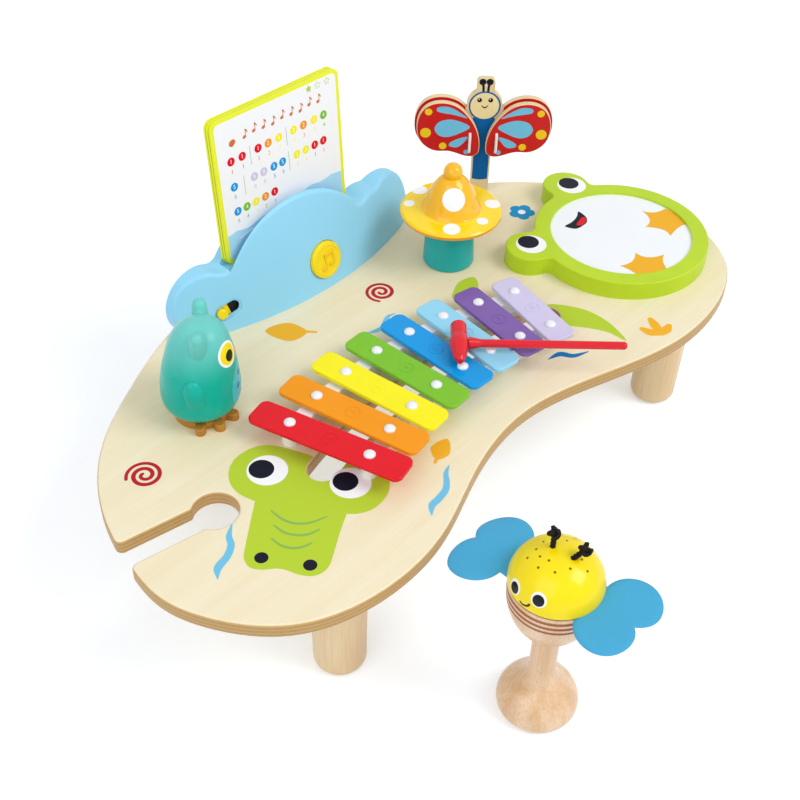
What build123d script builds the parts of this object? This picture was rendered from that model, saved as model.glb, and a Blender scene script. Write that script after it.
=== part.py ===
from build123d import *
import math
import os

# Musical activity table: a kidney-shaped plywood table on four turned legs that carries a
# metallophone, a drum, a spinning mushroom, a butterfly clapper, a music console with song
# cards and an owl. A bee rattle stands beside it.
# Millimetres. The floor is z = 0. X runs along the table and the player sits on the -Y side.

# ---- Table ----
TABLE_LENGTH = 592.0
TABLE_WIDTH = 320.0
TABLE_HEIGHT = 120.0
PLY = 12.0
EDGE_ROUND = 2.0
DRAWN_LENGTH = 592.0
DRAWN_WIDTH = 320.0
OUTLINE = [
    (0, 173), (80, 167), (158, 150), (219, 118), (259, 78), (288, 30), (301, -20), (294, -68),
    (266, -108), (214, -132), (150, -136), (75, -118), (5, -104), (-67, -118), (-130, -142),
    (-190, -146), (-243, -128), (-279, -86), (-291, -50), (-288, -15), (-276, 28), (-239, 83),
    (-189, 119), (-136, 147), (-70, 167),
]

# Keyhole that holds the rattle by its neck
KEYHOLE = (-219.5, -19.0)
KEYHOLE_RADIUS = 16.0
KEY_SLOT_WIDTH = 20.0
KEY_SLOT_ANGLE = 170.0
KEY_SLOT_REACH = 90.0
KEY_MOUTH_ROUND = 5.0
KEY_NECK_ROUND = 2.5

# ---- Legs ----
LEG_PLACES = {
    "front_left": (-184.0, -100.0),
    "front_right": (211.0, -92.0),
    "back_left": (-148.0, 104.0),
    "back_right": (160.0, 108.0),
}
LEG_TOP_RADIUS = 20.5
LEG_FOOT_RADIUS = 19.0
LEG_FOOT_ROUND = 6.0
STUD_RADIUS = 4.0
STUD_IN_LEG = 28.0
INSERT_RADIUS = 6.0
INSERT_DEPTH = 9.0

# ---- Metallophone ----
BARS = ["red", "orange", "yellow", "green", "blue", "sky", "purple", "lilac"]
BACK_ARC = {"centre": (-46.0, -362.0), "radius": 368.4, "first": -14.7, "overhang": 0.0}
FRONT_ARC = {"centre": (-20.0, -371.0), "radius": 320.2, "first": -18.6, "overhang": 0.0}
BAR_PITCH_ANGLE = 5.17
RAIL_WIDTH = 12.0
RAIL_HEIGHT = 12.5
SLOT_ARC = {"centre": (-22.0, -437.0), "radius": 413.0, "first": -17.0, "last": 17.6}
SLOT_WIDTH = 21.0
BAR_LONGEST = 123.0
BAR_SHORTEST = 84.0
BAR_WIDTH = 24.5
BAR_THICKNESS = 3.0
BAR_CORNER = 6.0
BAR_EDGE_ROUND = 1.0
WASHER_THICKNESS = 2.5
WASHER_RADIUS = 4.5
PIN_RADIUS = 1.6
PIN_HEAD_RADIUS = 4.2
PIN_HEAD_SKIRT = 1.0
PIN_HEAD_HEIGHT = 3.2
PIN_IN_RAIL = 9.0
RAIL_SCREWS_AT = (0.5, 3.5, 6.5)

# ---- Mallet ----
MALLET_HEAD_PLACE = (2.7, -36.9)
MALLET_YAW = -46.2
MALLET_LIFT = 0.6
MALLET_HANDLE_LENGTH = 125.8
MALLET_HANDLE_RADIUS = 3.1
MALLET_HEAD_RADIUS = 7.25
MALLET_HEAD_FAR = 21.0
MALLET_HEAD_NEAR = 21.2
MALLET_HEAD_STEPS = [(-1.0, 2.2), (-0.9, 3.6), (-0.5, 5.9), (-0.1, 7.25), (0.14, 7.0), (0.36, 5.9)]
MALLET_FACE_RADIUS = 6.2
MALLET_BOSS_RADIUS = 5.0
MALLET_BOSS_LENGTH = 9.0
MALLET_TENON = 5.0

# ---- Drum ----
DRUM_PLACE = (220.8, -27.5)
DRUM_FACING = 111.4
DRUM_HEIGHT = 16.0
DRUM_RADIUS = 74.0
DRUM_OPENING = 60.3
DRUM_SEAT = 64.0
DRUM_LIP = 2.0
DRUM_SKIN_THICKNESS = 0.8
HOOP_WALL = 7.0
LOBE_RADIUS = 20.5
LOBE_REACH = 83.0
LOBE_SPREAD = 38.7
LOBE_BLEND = 7.0
DRUM_EDGE_ROUND = 1.2
DRUM_SCREW_ANGLES = (15.0, 105.0, 195.0, 315.0)

# ---- Wood screws ----
SCREW_RADIUS = 1.75
SCREW_HEAD_RADIUS = 3.6
SCREW_HEAD_DEPTH = 2.6
SCREW_BITE = 8.0

# ---- Mushroom ----
MUSHROOM_PLACE = (103.2, 64.3)
STEM_HEIGHT = 46.0
STEM_FOOT_RADIUS = 21.5
STEM_TOP_RADIUS = 19.6
STEM_FOOT_ROUND = 2.0
CAP_RADIUS = 41.8
CAP_RIM = 4.4
CAP_TO_STEM = 0.4
BELL_BASE_RADIUS = 24.5
BELL_STEPS = [(22.3, 9.5), (20.6, 15.0), (18.4, 21.0), (15.2, 26.8), (11.4, 31.8), (7.6, 35.2)]
KNOB_RADIUS = 7.8
KNOB_CENTRE = 38.6
SPINDLE_RADIUS = 3.0
SPINDLE_IN_STEM = 30.0
SPINDLE_IN_CAP = 20.0
BUSH_WALL = 1.8

# ---- Butterfly clapper ----
BUTTERFLY_PLACE = (198.7, 114.1)
BUTTERFLY_YAW = -46.0
BOARD_THICKNESS = 6.0
POST_WIDTH = 16.5
TENON_DEPTH = 8.0
HEAD_CENTRE_HEIGHT = 87.0
HEAD_RADIUS = 15.4
TAB_WIDTH = 15.5
BOARD_TOP = 112.5
BOARD_MARGIN = 1.8
WING_THICKNESS = 5.0
WING_GAP = 2.0
WING_POINTS = [
    (2.9, 46.5), (4.4, 63.0), (9.0, 73.6), (14.8, 81.6), (23.0, 89.2), (33.0, 92.8),
    (43.0, 92.4), (51.5, 88.0), (57.0, 79.0), (58.4, 68.5), (56.0, 57.5), (49.5, 49.8),
    (40.5, 45.9), (30.0, 45.8), (20.0, 42.9), (12.5, 41.0), (6.0, 42.2),
]
LOOP_FROM_MIDDLE = 11.6
LOOP_LOW = 45.8
LOOP_HIGH = 63.6
LOOP_CORD_RADIUS = 1.0
LOOP_STANDOFF = 0.35
LOOP_BACK_ROOM = 0.6
LOOP_SLOT_WIDTH = 7.0
LOOP_SLOT_HEIGHT = 2.8

# ---- Music console ----
CONSOLE_ARC_CENTRE = (-2.0, 417.0)
CONSOLE_ARC_RADIUS = 312.0
CONSOLE_LEAN = 14.0
CONSOLE_BACK_Y = 148.0
CONSOLE_WALL = 2.4
CLOUD_BUMPS = [(-99.5, 22.0, 28.6), (-12.0, 5.0, 79.0), (72.0, 20.0, 29.8), (96.0, 19.0, 32.6)]
CLOUD_BLEND = 9.0
CONSOLE_EDGE_ROUND = 3.5
CONSOLE_SCREW_XS = (-112.0, 100.0)
CONSOLE_SCREW_INSET = 14.0
BUTTON_X = 5.0
BUTTON_HEIGHT = 24.6
BUTTON_RADIUS = 15.5
BUTTON_PROUD = 3.0
BUTTON_TRAVEL = 2.5
BUTTON_CLEARANCE = 0.5
BUTTON_FLANGE = 2.0
BUTTON_FLANGE_LIP = 1.8
BUTTON_FLANGE_GAP = 1.2
BUTTON_STEM_RADIUS = 3.0
BUTTON_STEM_LENGTH = 4.0
BUTTON_ROUND = 1.6
SPRING_WIRE = 0.9
SPRING_RADIUS = 5.0
PCB_SIZE = (44.0, 34.0, 1.6)
PCB_POSTS = (18.5, 13.5)
PCB_POST_RADIUS = 2.4
SWITCH_X = -93.4
SWITCH_HEIGHT = 16.4
SWITCH_TRAVEL = 11.0
SWITCH_KNOB_RADIUS = 4.4
SWITCH_PROUD = 2.6
SWITCH_TILT = 17.0
SWITCH_RECESS_DEPTH = 1.2
SWITCH_RECESS_MARGIN = 2.1
SWITCH_TONGUE = (14.0, 12.0, 1.6)
SWITCH_TONGUE_GAP = 0.9
SWITCH_BODY = (38.0, 14.0, 6.0)
SWITCH_BODY_GAP = 0.4
SHELL_CUT = 8.0
SWITCH_POST_REACH = 16.0
SWITCH_POST_RADIUS = 2.2
CARD_WIDTH = 126.0
CARD_HEIGHT = 120.0
CARD_STEP_UP = 0.4
CARD_THICKNESS = 1.7
CARD_CORNER = 7.0
CARD_COUNT = 3
CARD_GAP = 0.35
CARD_LEFT_X = -75.0
CARD_FRONT_Y = 134.0
CARD_FOOT = 46.0
CARD_LEAN = 3.7
CARD_SHUFFLE = 0.6
POCKET_FRONT_ROOM = 7.0
POCKET_END_ROOM = 2.5
POCKET_WALL = 2.0
POCKET_DEPTH = 60.0
SHELL_DEPTH = 60.0
BATTERY_RADIUS = 5.2
BATTERY_LENGTH = 44.0
BATTERY_PLAY = 0.2
BATTERY_BOX_X = 54.0
BATTERY_BOX_ROOM = (48.0, 15.6, 22.0)
BATTERY_BOX_WALL = 2.0
BATTERY_WINDOW_EDGE = 1.0
COVER_SCREWS = [(-116.0, 10.0), (-113.0, 38.0), (112.0, 10.0), (110.0, 38.0), (-28.0, 9.0)]
COVER_SCREW_RADIUS = 1.3
COVER_SCREW_LENGTH = 9.0
COVER_SCREW_HEAD = (2.4, 1.2)
COVER_SCREW_PLAY = 0.2
PILLAR_RADIUS = 3.4
SPEAKER_RADIUS = 14.0
SPEAKER_RIM = 3.0
SPEAKER_MAGNET_RADIUS = 8.0
SPEAKER_MAGNET = 6.0
SPEAKER_RINGS = ((0.0, 1), (4.5, 6), (9.0, 12))
SPEAKER_HOLE_RADIUS = 1.1
SPEAKER_X = -58.0
SPEAKER_HEIGHT = 24.0

# ---- Owl ----
OWL_PLACE = (-162.9, 63.3)
OWL_FACING = 318.0
OWL_FEET_FACING = 261.0
OWL_FEET_HEIGHT = 6.0
OWL_FEET_RADIUS = 21.0
OWL_TOE_REACH = 24.6
OWL_TOE_RADIUS = 3.8
OWL_TOE_SPREAD = 34.0
OWL_SCREW_REACH = 13.0
OWL_GAP = 0.4
OWL_WALL = 2.6
OWL_HUB_RADIUS = 7.5
OWL_SECTIONS = [
    (0.0, 18.0, 0.0), (3.0, 23.4, 0.0), (8.0, 27.2, 0.0), (16.0, 28.8, 0.3), (30.0, 28.0, 1.0),
    (44.0, 25.7, 2.0), (57.0, 22.6, 3.0), (66.0, 18.8, 3.6), (72.0, 13.8, 4.0), (75.4, 8.0, 4.2),
    (76.6, 2.5, 4.2),
]
OWL_EAR_ROOT = (12.5, 64.0)
OWL_EAR_TIP = (18.2, 80.0)
OWL_EAR_RADIUS = 6.5
OWL_EAR_END_RADIUS = 1.5
OWL_EAR_FORWARD = 3.6
OWL_WING_RADII = (6.0, 4.5, 11.5)
OWL_WING_PLACE = (-1.0, 25.5, 27.0)
OWL_WING_LEAN = 25.0
OWL_SPINDLE_IN_BODY = 30.0
SPINDLE_END_ROOM = 5.0

# ---- Bee rattle ----
BEE_PLACE = (-113.4, -223.8)
BEE_FACING = 184.0
BEE_BASE_STEPS = [(23.5, 0.0), (27.4, 2.2), (28.4, 7.0), (26.8, 14.5), (21.5, 22.5), (14.5, 30.0),
                  (10.4, 38.0), (9.2, 48.0)]
BEE_NECK_RADIUS = 9.2
BEE_BOWL_CENTRE = 124.0
BEE_BOWL_RADIUS = 30.6
BEE_BOWL_DEPTH = 44.0
BEE_BOWL_WALL = 6.0
BEE_RIM = 130.6
BEE_GROOVES = (126.8, 122.2, 117.6)
BEE_GROOVE_DEPTH = 0.7
BEE_DOME_BASE = 133.0
BEE_DOME_TOP = 160.0
BEE_DOME_RADIUS = 31.0
BEE_DOME_WALL = 2.2
BEE_WING_LOBES = {
    -1: [(-10.0, 47.0, 18.5), (16.0, 49.0, 17.0)],
    1: [(-17.0, 45.5, 18.5), (12.0, 43.0, 18.5)],
}
BEE_WING_ROOT = 34.0
BEE_BEADS = 7
BEE_BEAD_RADIUS = 2.5
BEE_BEAD_RING = 7.0
ANTENNA_RADIUS = 1.9
ANTENNA_LENGTH = 13.0
ANTENNA_KNOT = 4.2
ANTENNA_SPREAD = 6.4
ANTENNA_BACK = 0.0
ANTENNA_LEANS = {-1: (6.0, 10.0), 1: (32.0, 28.0)}
ANTENNA_SUNK = 3.5

# ---- Fits ----
HAIR = 0.05
RUNNING_FIT = 0.06
LOOSE_FIT = 0.3

TOP = TABLE_HEIGHT
UNDERSIDE = TABLE_HEIGHT - PLY


def spot(x, y):
    """A drawn place on the tabletop, moved with the table's real length and width."""
    return (x * TABLE_LENGTH / DRAWN_LENGTH, y * TABLE_WIDTH / DRAWN_WIDTH)


def on_arc(arc, angle, radius=None):
    """The point of an arc at an angle from +Y, positive towards +X."""
    cx, cy = spot(*arc["centre"])
    r = arc["radius"] if radius is None else radius
    a = math.radians(angle)
    return (cx + r * math.sin(a), cy + r * math.cos(a))


def rod(x, y, z, radius, height):
    """An upright cylinder that starts at z."""
    return Pos(x, y, z) * Cylinder(radius, height, align=(Align.CENTER, Align.CENTER, Align.MIN))


def tube(x, y, z, outer, inner, height):
    """An upright tube that starts at z."""
    return rod(x, y, z, outer, height) - rod(x, y, z, inner, height)


def turned(steps):
    """A solid of revolution about Z from (radius, height) points joined by a smooth curve."""
    low, high = steps[0], steps[-1]
    curve = Spline(*[(r, 0, z) for r, z in steps])
    closing = Polyline((high[0], 0, high[1]), (0, 0, high[1]), (0, 0, low[1]), (low[0], 0, low[1]))
    return revolve(make_face(Wire([curve, *closing.edges()])), Axis.Z)


def turned_straight(points):
    """A solid of revolution about Z from (radius, height) points joined by straight lines."""
    return revolve(make_face(Polyline(*[(r, 0, z) for r, z in points], close=True)), Axis.Z)


def wood_screw(x, y, length):
    """A countersunk screw driven up from under the plate, and the hole that it needs there."""
    head = Pos(x, y, UNDERSIDE) * Cone(
        SCREW_HEAD_RADIUS, SCREW_RADIUS, SCREW_HEAD_DEPTH, align=(Align.CENTER, Align.CENTER, Align.MIN)
    )
    shank = rod(x, y, UNDERSIDE, SCREW_RADIUS, length)
    return head + shank


# ---- Table ----

def rail_screw_places():
    """Places of the screws that hold both rails, between the bars."""
    places = []
    for arc in (BACK_ARC, FRONT_ARC):
        places += [on_arc(arc, arc["first"] + k * BAR_PITCH_ANGLE) for k in RAIL_SCREWS_AT]
    return places


def drum_screw_places():
    """Places of the screws that hold the drum's frame, in the middle of its wall."""
    cx, cy = spot(*DRUM_PLACE)
    r = (DRUM_RADIUS + DRUM_SEAT) / 2
    return [
        (cx + r * math.cos(math.radians(a)), cy + r * math.sin(math.radians(a)))
        for a in DRUM_SCREW_ANGLES
    ]


def butterfly_spot(x, y):
    """A place of the butterfly's own frame, x along its board and y through it, on the tabletop."""
    cx, cy = spot(*BUTTERFLY_PLACE)
    a = math.radians(BUTTERFLY_YAW)
    return (cx + x * math.cos(a) - y * math.sin(a), cy + x * math.sin(a) + y * math.cos(a))


def butterfly_screw_places():
    """Places of the screws that go up into the butterfly's post."""
    return [butterfly_spot(x, BOARD_THICKNESS / 2) for x in (-POST_WIDTH / 4, POST_WIDTH / 4)]


def console_screw_places():
    """Places of the screws that hold the console's floor."""
    y = console_y(CONSOLE_BACK_Y) - CONSOLE_SCREW_INSET
    return [(console_x(x), y) for x in CONSOLE_SCREW_XS]


def owl_screw_places():
    """Places of the screws that hold the owl's feet."""
    x, y = spot(*OWL_PLACE)
    return [(x - OWL_SCREW_REACH, y), (x + OWL_SCREW_REACH, y)]


def long_screw_places():
    """Places of the equal screws that hold the rails, the drum, the stem and the post."""
    stem = [spot(*MUSHROOM_PLACE)]
    return rail_screw_places() + drum_screw_places() + butterfly_screw_places() + stem


def tabletop_face():
    """The plate's outline with the keyhole, its mouth and its neck rounded."""
    face = make_face(Spline(*[spot(x, y) for x, y in OUTLINE], periodic=True))
    kx, ky = spot(*KEYHOLE)
    slot = Pos(KEY_SLOT_REACH / 2, 0) * Rectangle(KEY_SLOT_REACH, KEY_SLOT_WIDTH)
    face -= Pos(kx, ky) * Rot(0, 0, KEY_SLOT_ANGLE) * (Circle(KEYHOLE_RADIUS) + slot)
    neck = face.vertices().sort_by_distance((kx, ky))[:2]
    face = fillet(neck, KEY_NECK_ROUND)
    mouth = face.vertices().sort_by(Axis.X)[:2]
    return fillet(mouth, KEY_MOUTH_ROUND)


def table_top():
    cx, cy = spot(*SLOT_ARC["centre"])
    start = 90.0 - SLOT_ARC["last"]
    sweep_angle = SLOT_ARC["last"] - SLOT_ARC["first"]
    slot = SlotArc(CenterArc((cx, cy), SLOT_ARC["radius"], start, sweep_angle), SLOT_WIDTH)
    plate = Pos(0, 0, UNDERSIDE) * extrude(tabletop_face() - slot, PLY)
    flat = plate.faces().filter_by(Axis.Z).sort_by(Axis.Z)
    plate = fillet(flat[0].edges() + flat[-1].edges(), EDGE_ROUND)
    for x, y in LEG_PLACES.values():
        plate -= rod(*spot(x, y), UNDERSIDE, INSERT_RADIUS, INSERT_DEPTH)
    plate -= butterfly_tenon()
    for x, y in long_screw_places() + console_screw_places() + owl_screw_places():
        plate -= wood_screw(x, y, PLY)
    return plate


def leg(x, y):
    body = Pos(x, y, 0) * turned_straight(
        [(0, 0), (LEG_FOOT_RADIUS, 0), (LEG_TOP_RADIUS, UNDERSIDE), (0, UNDERSIDE)]
    )
    body = fillet(body.edges().group_by(Axis.Z)[0], LEG_FOOT_ROUND)
    return body - rod(x, y, UNDERSIDE - STUD_IN_LEG, STUD_RADIUS, STUD_IN_LEG)


def table():
    legs = {name: spot(x, y) for name, (x, y) in LEG_PLACES.items()}
    parts = {"table_top": table_top()}
    for name, (x, y) in legs.items():
        parts["leg_" + name] = leg(x, y)
    parts["leg_studs"] = [
        rod(x, y, UNDERSIDE - STUD_IN_LEG, STUD_RADIUS, STUD_IN_LEG + INSERT_DEPTH - HAIR)
        for x, y in legs.values()
    ]
    parts["leg_inserts"] = [
        tube(x, y, UNDERSIDE, INSERT_RADIUS, STUD_RADIUS, INSERT_DEPTH) for x, y in legs.values()
    ]
    parts["wood_screws"] = [
        wood_screw(x, y, PLY + SCREW_BITE) for x, y in long_screw_places()
    ]
    return parts


# ---- Metallophone ----

def pin_places(index):
    """Back and front pin of one bar."""
    turn = index * BAR_PITCH_ANGLE
    return on_arc(BACK_ARC, BACK_ARC["first"] + turn), on_arc(FRONT_ARC, FRONT_ARC["first"] + turn)


def rail(arc):
    """A curved rail with a pin hole under each bar and pilot holes for its screws."""
    span = (len(BARS) - 1) * BAR_PITCH_ANGLE + 2 * arc["overhang"]
    last = arc["first"] + (len(BARS) - 1) * BAR_PITCH_ANGLE + arc["overhang"]
    line = CenterArc(spot(*arc["centre"]), arc["radius"], 90.0 - last, span)
    body = Pos(0, 0, TOP) * extrude(SlotArc(line, RAIL_WIDTH), RAIL_HEIGHT)
    for k in range(len(BARS)):
        x, y = on_arc(arc, arc["first"] + k * BAR_PITCH_ANGLE)
        body -= rod(x, y, TOP + RAIL_HEIGHT - PIN_IN_RAIL, PIN_RADIUS, PIN_IN_RAIL)
    for k in RAIL_SCREWS_AT:
        x, y = on_arc(arc, arc["first"] + k * BAR_PITCH_ANGLE)
        body -= rod(x, y, TOP, SCREW_RADIUS, SCREW_BITE)
    return body


def bar(index):
    """A sound bar with rounded corners, softened edges and a hole over each rail."""
    (bx, by), (fx, fy) = pin_places(index)
    length = BAR_LONGEST - index * (BAR_LONGEST - BAR_SHORTEST) / (len(BARS) - 1)
    yaw = math.degrees(math.atan2(by - fy, bx - fx))
    z = TOP + RAIL_HEIGHT + WASHER_THICKNESS
    blank = extrude(RectangleRounded(length, BAR_WIDTH, BAR_CORNER), BAR_THICKNESS)
    blank = fillet(blank.faces().sort_by(Axis.Z)[-1].edges(), BAR_EDGE_ROUND)
    body = Pos((bx + fx) / 2, (by + fy) / 2, z) * Rot(0, 0, yaw) * blank
    for x, y in pin_places(index):
        body -= rod(x, y, z, PIN_RADIUS + LOOSE_FIT, BAR_THICKNESS)
    return body


def pin(x, y):
    """A pin with a domed head over the bar and a plain shank down into the rail."""
    z = TOP + RAIL_HEIGHT + WASHER_THICKNESS + BAR_THICKNESS
    rise = PIN_HEAD_HEIGHT - PIN_HEAD_SKIRT
    dome_radius = (PIN_HEAD_RADIUS ** 2 + rise ** 2) / (2 * rise)
    dome = Pos(x, y, z + PIN_HEAD_HEIGHT - dome_radius) * Sphere(dome_radius)
    head = rod(x, y, z, PIN_HEAD_RADIUS, PIN_HEAD_HEIGHT) & dome
    foot = TOP + RAIL_HEIGHT - PIN_IN_RAIL
    return head + rod(x, y, foot, PIN_RADIUS, z - foot)


def metallophone():
    parts = {"rail_back": rail(BACK_ARC), "rail_front": rail(FRONT_ARC)}
    for k, colour in enumerate(BARS):
        parts["bar_" + colour] = bar(k)
    places = [p for k in range(len(BARS)) for p in pin_places(k)]
    parts["bar_pins"] = [pin(x, y) for x, y in places]
    parts["bar_washers"] = [
        tube(x, y, TOP + RAIL_HEIGHT, WASHER_RADIUS, PIN_RADIUS + HAIR, WASHER_THICKNESS)
        for x, y in places
    ]
    return parts


def mallet_height():
    """Height of the mallet's middle line, where the head lies on the bars."""
    bars = TOP + RAIL_HEIGHT + WASHER_THICKNESS + BAR_THICKNESS
    return bars + MALLET_HEAD_RADIUS + MALLET_LIFT


def mallet():
    """Head turned about its own X, handle along its own Y, laid across the bars."""
    near, far = MALLET_HEAD_NEAR, MALLET_HEAD_FAR
    steps = [(r, t * (near if t < 0 else far)) for t, r in MALLET_HEAD_STEPS]
    nose = turned(steps)
    face_start = steps[-1][1]
    face = turned_straight([
        (0, face_start), (steps[-1][0], face_start), (MALLET_FACE_RADIUS, face_start + 2.5),
        (MALLET_FACE_RADIUS, far - 1.2), (MALLET_FACE_RADIUS - 1.2, far), (0, far),
    ])
    head = nose + face
    place = Pos(*spot(*MALLET_HEAD_PLACE), mallet_height()) * Rot(0, 0, MALLET_YAW)
    head = Rot(-90, 0, 0) * head
    bore = Rot(0, 90, 0) * rod(0, 0, 0, MALLET_HANDLE_RADIUS, MALLET_HEAD_RADIUS + 1.0)
    head -= bore
    stick = rod(0, 0, MALLET_HEAD_RADIUS - MALLET_TENON, MALLET_HANDLE_RADIUS,
                MALLET_HANDLE_LENGTH - MALLET_HEAD_RADIUS + MALLET_TENON)
    stick = fillet(stick.edges().sort_by(Axis.Z)[-1], MALLET_HANDLE_RADIUS * 0.8)
    boss = Pos(0, 0, MALLET_HEAD_RADIUS + HAIR) * Cone(
        MALLET_BOSS_RADIUS, MALLET_HANDLE_RADIUS, MALLET_BOSS_LENGTH,
        align=(Align.CENTER, Align.CENTER, Align.MIN),
    )
    handle = Rot(0, 90, 0) * (stick + boss)
    return {"mallet_head": place * head, "mallet_handle": place * handle}


# ---- Drum ----

def drum():
    cx, cy = spot(*DRUM_PLACE)
    face = Circle(DRUM_RADIUS)
    for side in (-1, 1):
        a = math.radians(DRUM_FACING + side * LOBE_SPREAD)
        face += Pos(LOBE_REACH * math.cos(a), LOBE_REACH * math.sin(a)) * Circle(LOBE_RADIUS)
    face = fillet(face.vertices(), LOBE_BLEND)
    frame = Pos(cx, cy, TOP) * extrude(face, DRUM_HEIGHT)
    frame = fillet(frame.faces().sort_by(Axis.Z)[-1].edges(), DRUM_EDGE_ROUND)
    seat = DRUM_HEIGHT - DRUM_LIP
    frame -= rod(cx, cy, TOP, DRUM_OPENING, DRUM_HEIGHT)
    frame -= rod(cx, cy, TOP, DRUM_SEAT, seat)
    for x, y in drum_screw_places():
        frame -= rod(x, y, TOP, SCREW_RADIUS, SCREW_BITE)
    hoop_height = seat - DRUM_SKIN_THICKNESS
    outer = DRUM_SEAT - HAIR
    return {
        "drum_frame": frame,
        "drum_skin": rod(cx, cy, TOP + hoop_height, outer, DRUM_SKIN_THICKNESS),
        "drum_hoop": tube(cx, cy, TOP, outer, outer - HOOP_WALL, hoop_height),
    }


# ---- Mushroom ----

def mushroom():
    x, y = spot(*MUSHROOM_PLACE)
    at_top = TOP + STEM_HEIGHT
    stem = Pos(x, y, TOP) * turned_straight(
        [(0, 0), (STEM_FOOT_RADIUS, 0), (STEM_TOP_RADIUS, STEM_HEIGHT), (0, STEM_HEIGHT)]
    )
    stem = fillet(stem.edges().group_by(Axis.Z)[0], STEM_FOOT_ROUND)
    stem -= rod(x, y, at_top - SPINDLE_IN_STEM, SPINDLE_RADIUS, SPINDLE_IN_STEM)
    stem -= rod(x, y, TOP, SCREW_RADIUS, SCREW_BITE)
    rim = CAP_TO_STEM + CAP_RIM
    bell = [(BELL_BASE_RADIUS, rim + 1.2)] + BELL_STEPS
    flange = turned_straight([
        (0, CAP_TO_STEM), (CAP_RADIUS - 1.0, CAP_TO_STEM), (CAP_RADIUS, CAP_TO_STEM + 1.2),
        (CAP_RADIUS, rim - 1.2), (CAP_RADIUS - 1.6, rim), (BELL_BASE_RADIUS + 3.0, rim + 0.6),
        (BELL_BASE_RADIUS, rim + 1.2), (0, rim + 1.2),
    ])
    cap = flange + turned(bell)
    bush_radius = SPINDLE_RADIUS + RUNNING_FIT + BUSH_WALL
    cap -= rod(0, 0, 0, bush_radius, SPINDLE_IN_CAP + 1.0)
    cap = Pos(x, y, at_top) * cap
    knob = Pos(x, y, at_top + KNOB_CENTRE) * Sphere(KNOB_RADIUS)
    knob -= rod(x, y, at_top, KNOB_RADIUS * 2, BELL_STEPS[-1][1])
    bush = tube(x, y, at_top + CAP_TO_STEM, bush_radius, SPINDLE_RADIUS + RUNNING_FIT,
                SPINDLE_IN_CAP - CAP_TO_STEM)
    spindle = rod(x, y, at_top - SPINDLE_IN_STEM, SPINDLE_RADIUS,
                  SPINDLE_IN_STEM + SPINDLE_IN_CAP - 1.0)
    return {
        "mushroom_stem": stem,
        "mushroom_cap": cap,
        "mushroom_knob": knob,
        "mushroom_bush": bush,
        "mushroom_spindle": spindle,
    }


# ---- Butterfly clapper ----

def butterfly_placed(shape):
    """From the butterfly's own frame, front face at y = 0 towards -Y, to its place."""
    x, y = spot(*BUTTERFLY_PLACE)
    return Pos(x, y, TOP) * Rot(0, 0, BUTTERFLY_YAW) * shape


def slab(face, y, thickness):
    """A flat shape drawn in X and Z, from y on through its thickness along +Y."""
    return Pos(0, y + thickness, 0) * Rot(90, 0, 0) * extrude(face, thickness)


def butterfly_tenon():
    size = (POST_WIDTH, BOARD_THICKNESS, TENON_DEPTH)
    return butterfly_placed(Pos(0, BOARD_THICKNESS / 2, -TENON_DEPTH / 2) * Box(*size))


def wing_face(side, margin=0.0):
    """A wing's outline, grown on all sides by a margin."""
    mx = sum(x for x, _ in WING_POINTS) / len(WING_POINTS)
    mz = sum(z for _, z in WING_POINTS) / len(WING_POINTS)
    points = []
    for x, z in WING_POINTS:
        away = margin / math.hypot(x - mx, z - mz)
        points.append((side * (x + (x - mx) * away), z + (z - mz) * away))
    return make_face(Spline(*points, periodic=True))


def loop_slots(y, depth, width, height):
    """Through slots for one loop's two ends, at its high and its low end."""
    return [
        Pos(side * LOOP_FROM_MIDDLE, y + depth / 2, z) * Box(width, depth, height)
        for side in (-1, 1)
        for z in (LOOP_LOW, LOOP_HIGH)
    ]


def elastic_loop(side):
    """A closed cord loop through a wing and the board behind it."""
    front = -WING_GAP - WING_THICKNESS - LOOP_STANDOFF - LOOP_CORD_RADIUS
    back = BOARD_THICKNESS + LOOP_BACK_ROOM + LOOP_CORD_RADIUS
    corners = [(front, LOOP_LOW), (back, LOOP_LOW), (back, LOOP_HIGH), (front, LOOP_HIGH)]
    x = side * LOOP_FROM_MIDDLE
    path = FilletPolyline(*[(x, y, z) for y, z in corners], radius=2.0, close=True)
    start = path.edges()[0]
    ring = Plane(origin=start @ 0.5, z_dir=start % 0.5) * Circle(LOOP_CORD_RADIUS)
    return sweep(ring, path)


def butterfly():
    post = Pos(0, HEAD_CENTRE_HEIGHT / 2) * Rectangle(POST_WIDTH, HEAD_CENTRE_HEIGHT)
    tab_height = BOARD_TOP - HEAD_CENTRE_HEIGHT
    tab = Pos(0, HEAD_CENTRE_HEIGHT + tab_height / 2) * RectangleRounded(TAB_WIDTH, tab_height, 4.0)
    head = Pos(0, HEAD_CENTRE_HEIGHT) * Circle(HEAD_RADIUS)
    face = post + head + tab + wing_face(-1, BOARD_MARGIN) + wing_face(1, BOARD_MARGIN)
    board = slab(face, 0, BOARD_THICKNESS)
    for cutter in loop_slots(0, BOARD_THICKNESS, LOOP_SLOT_WIDTH, LOOP_SLOT_HEIGHT):
        board -= cutter
    board = butterfly_placed(board) + butterfly_tenon()
    for x, y in butterfly_screw_places():
        board -= rod(x, y, UNDERSIDE, SCREW_RADIUS, PLY + SCREW_BITE)
    parts = {"butterfly_board": board}
    hole = 2 * (LOOP_CORD_RADIUS + LOOSE_FIT)
    for name, side in (("left", -1), ("right", 1)):
        wing = slab(wing_face(side), -WING_GAP - WING_THICKNESS, WING_THICKNESS)
        wing = fillet(wing.faces().sort_by(Axis.Y)[0].edges(), 0.8)
        for cutter in loop_slots(-WING_GAP - WING_THICKNESS, WING_THICKNESS, hole, hole):
            wing -= cutter
        parts["butterfly_wing_" + name] = butterfly_placed(wing)
        parts["butterfly_loop_" + name] = butterfly_placed(elastic_loop(side))
    return parts


# ---- Music console ----

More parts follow.
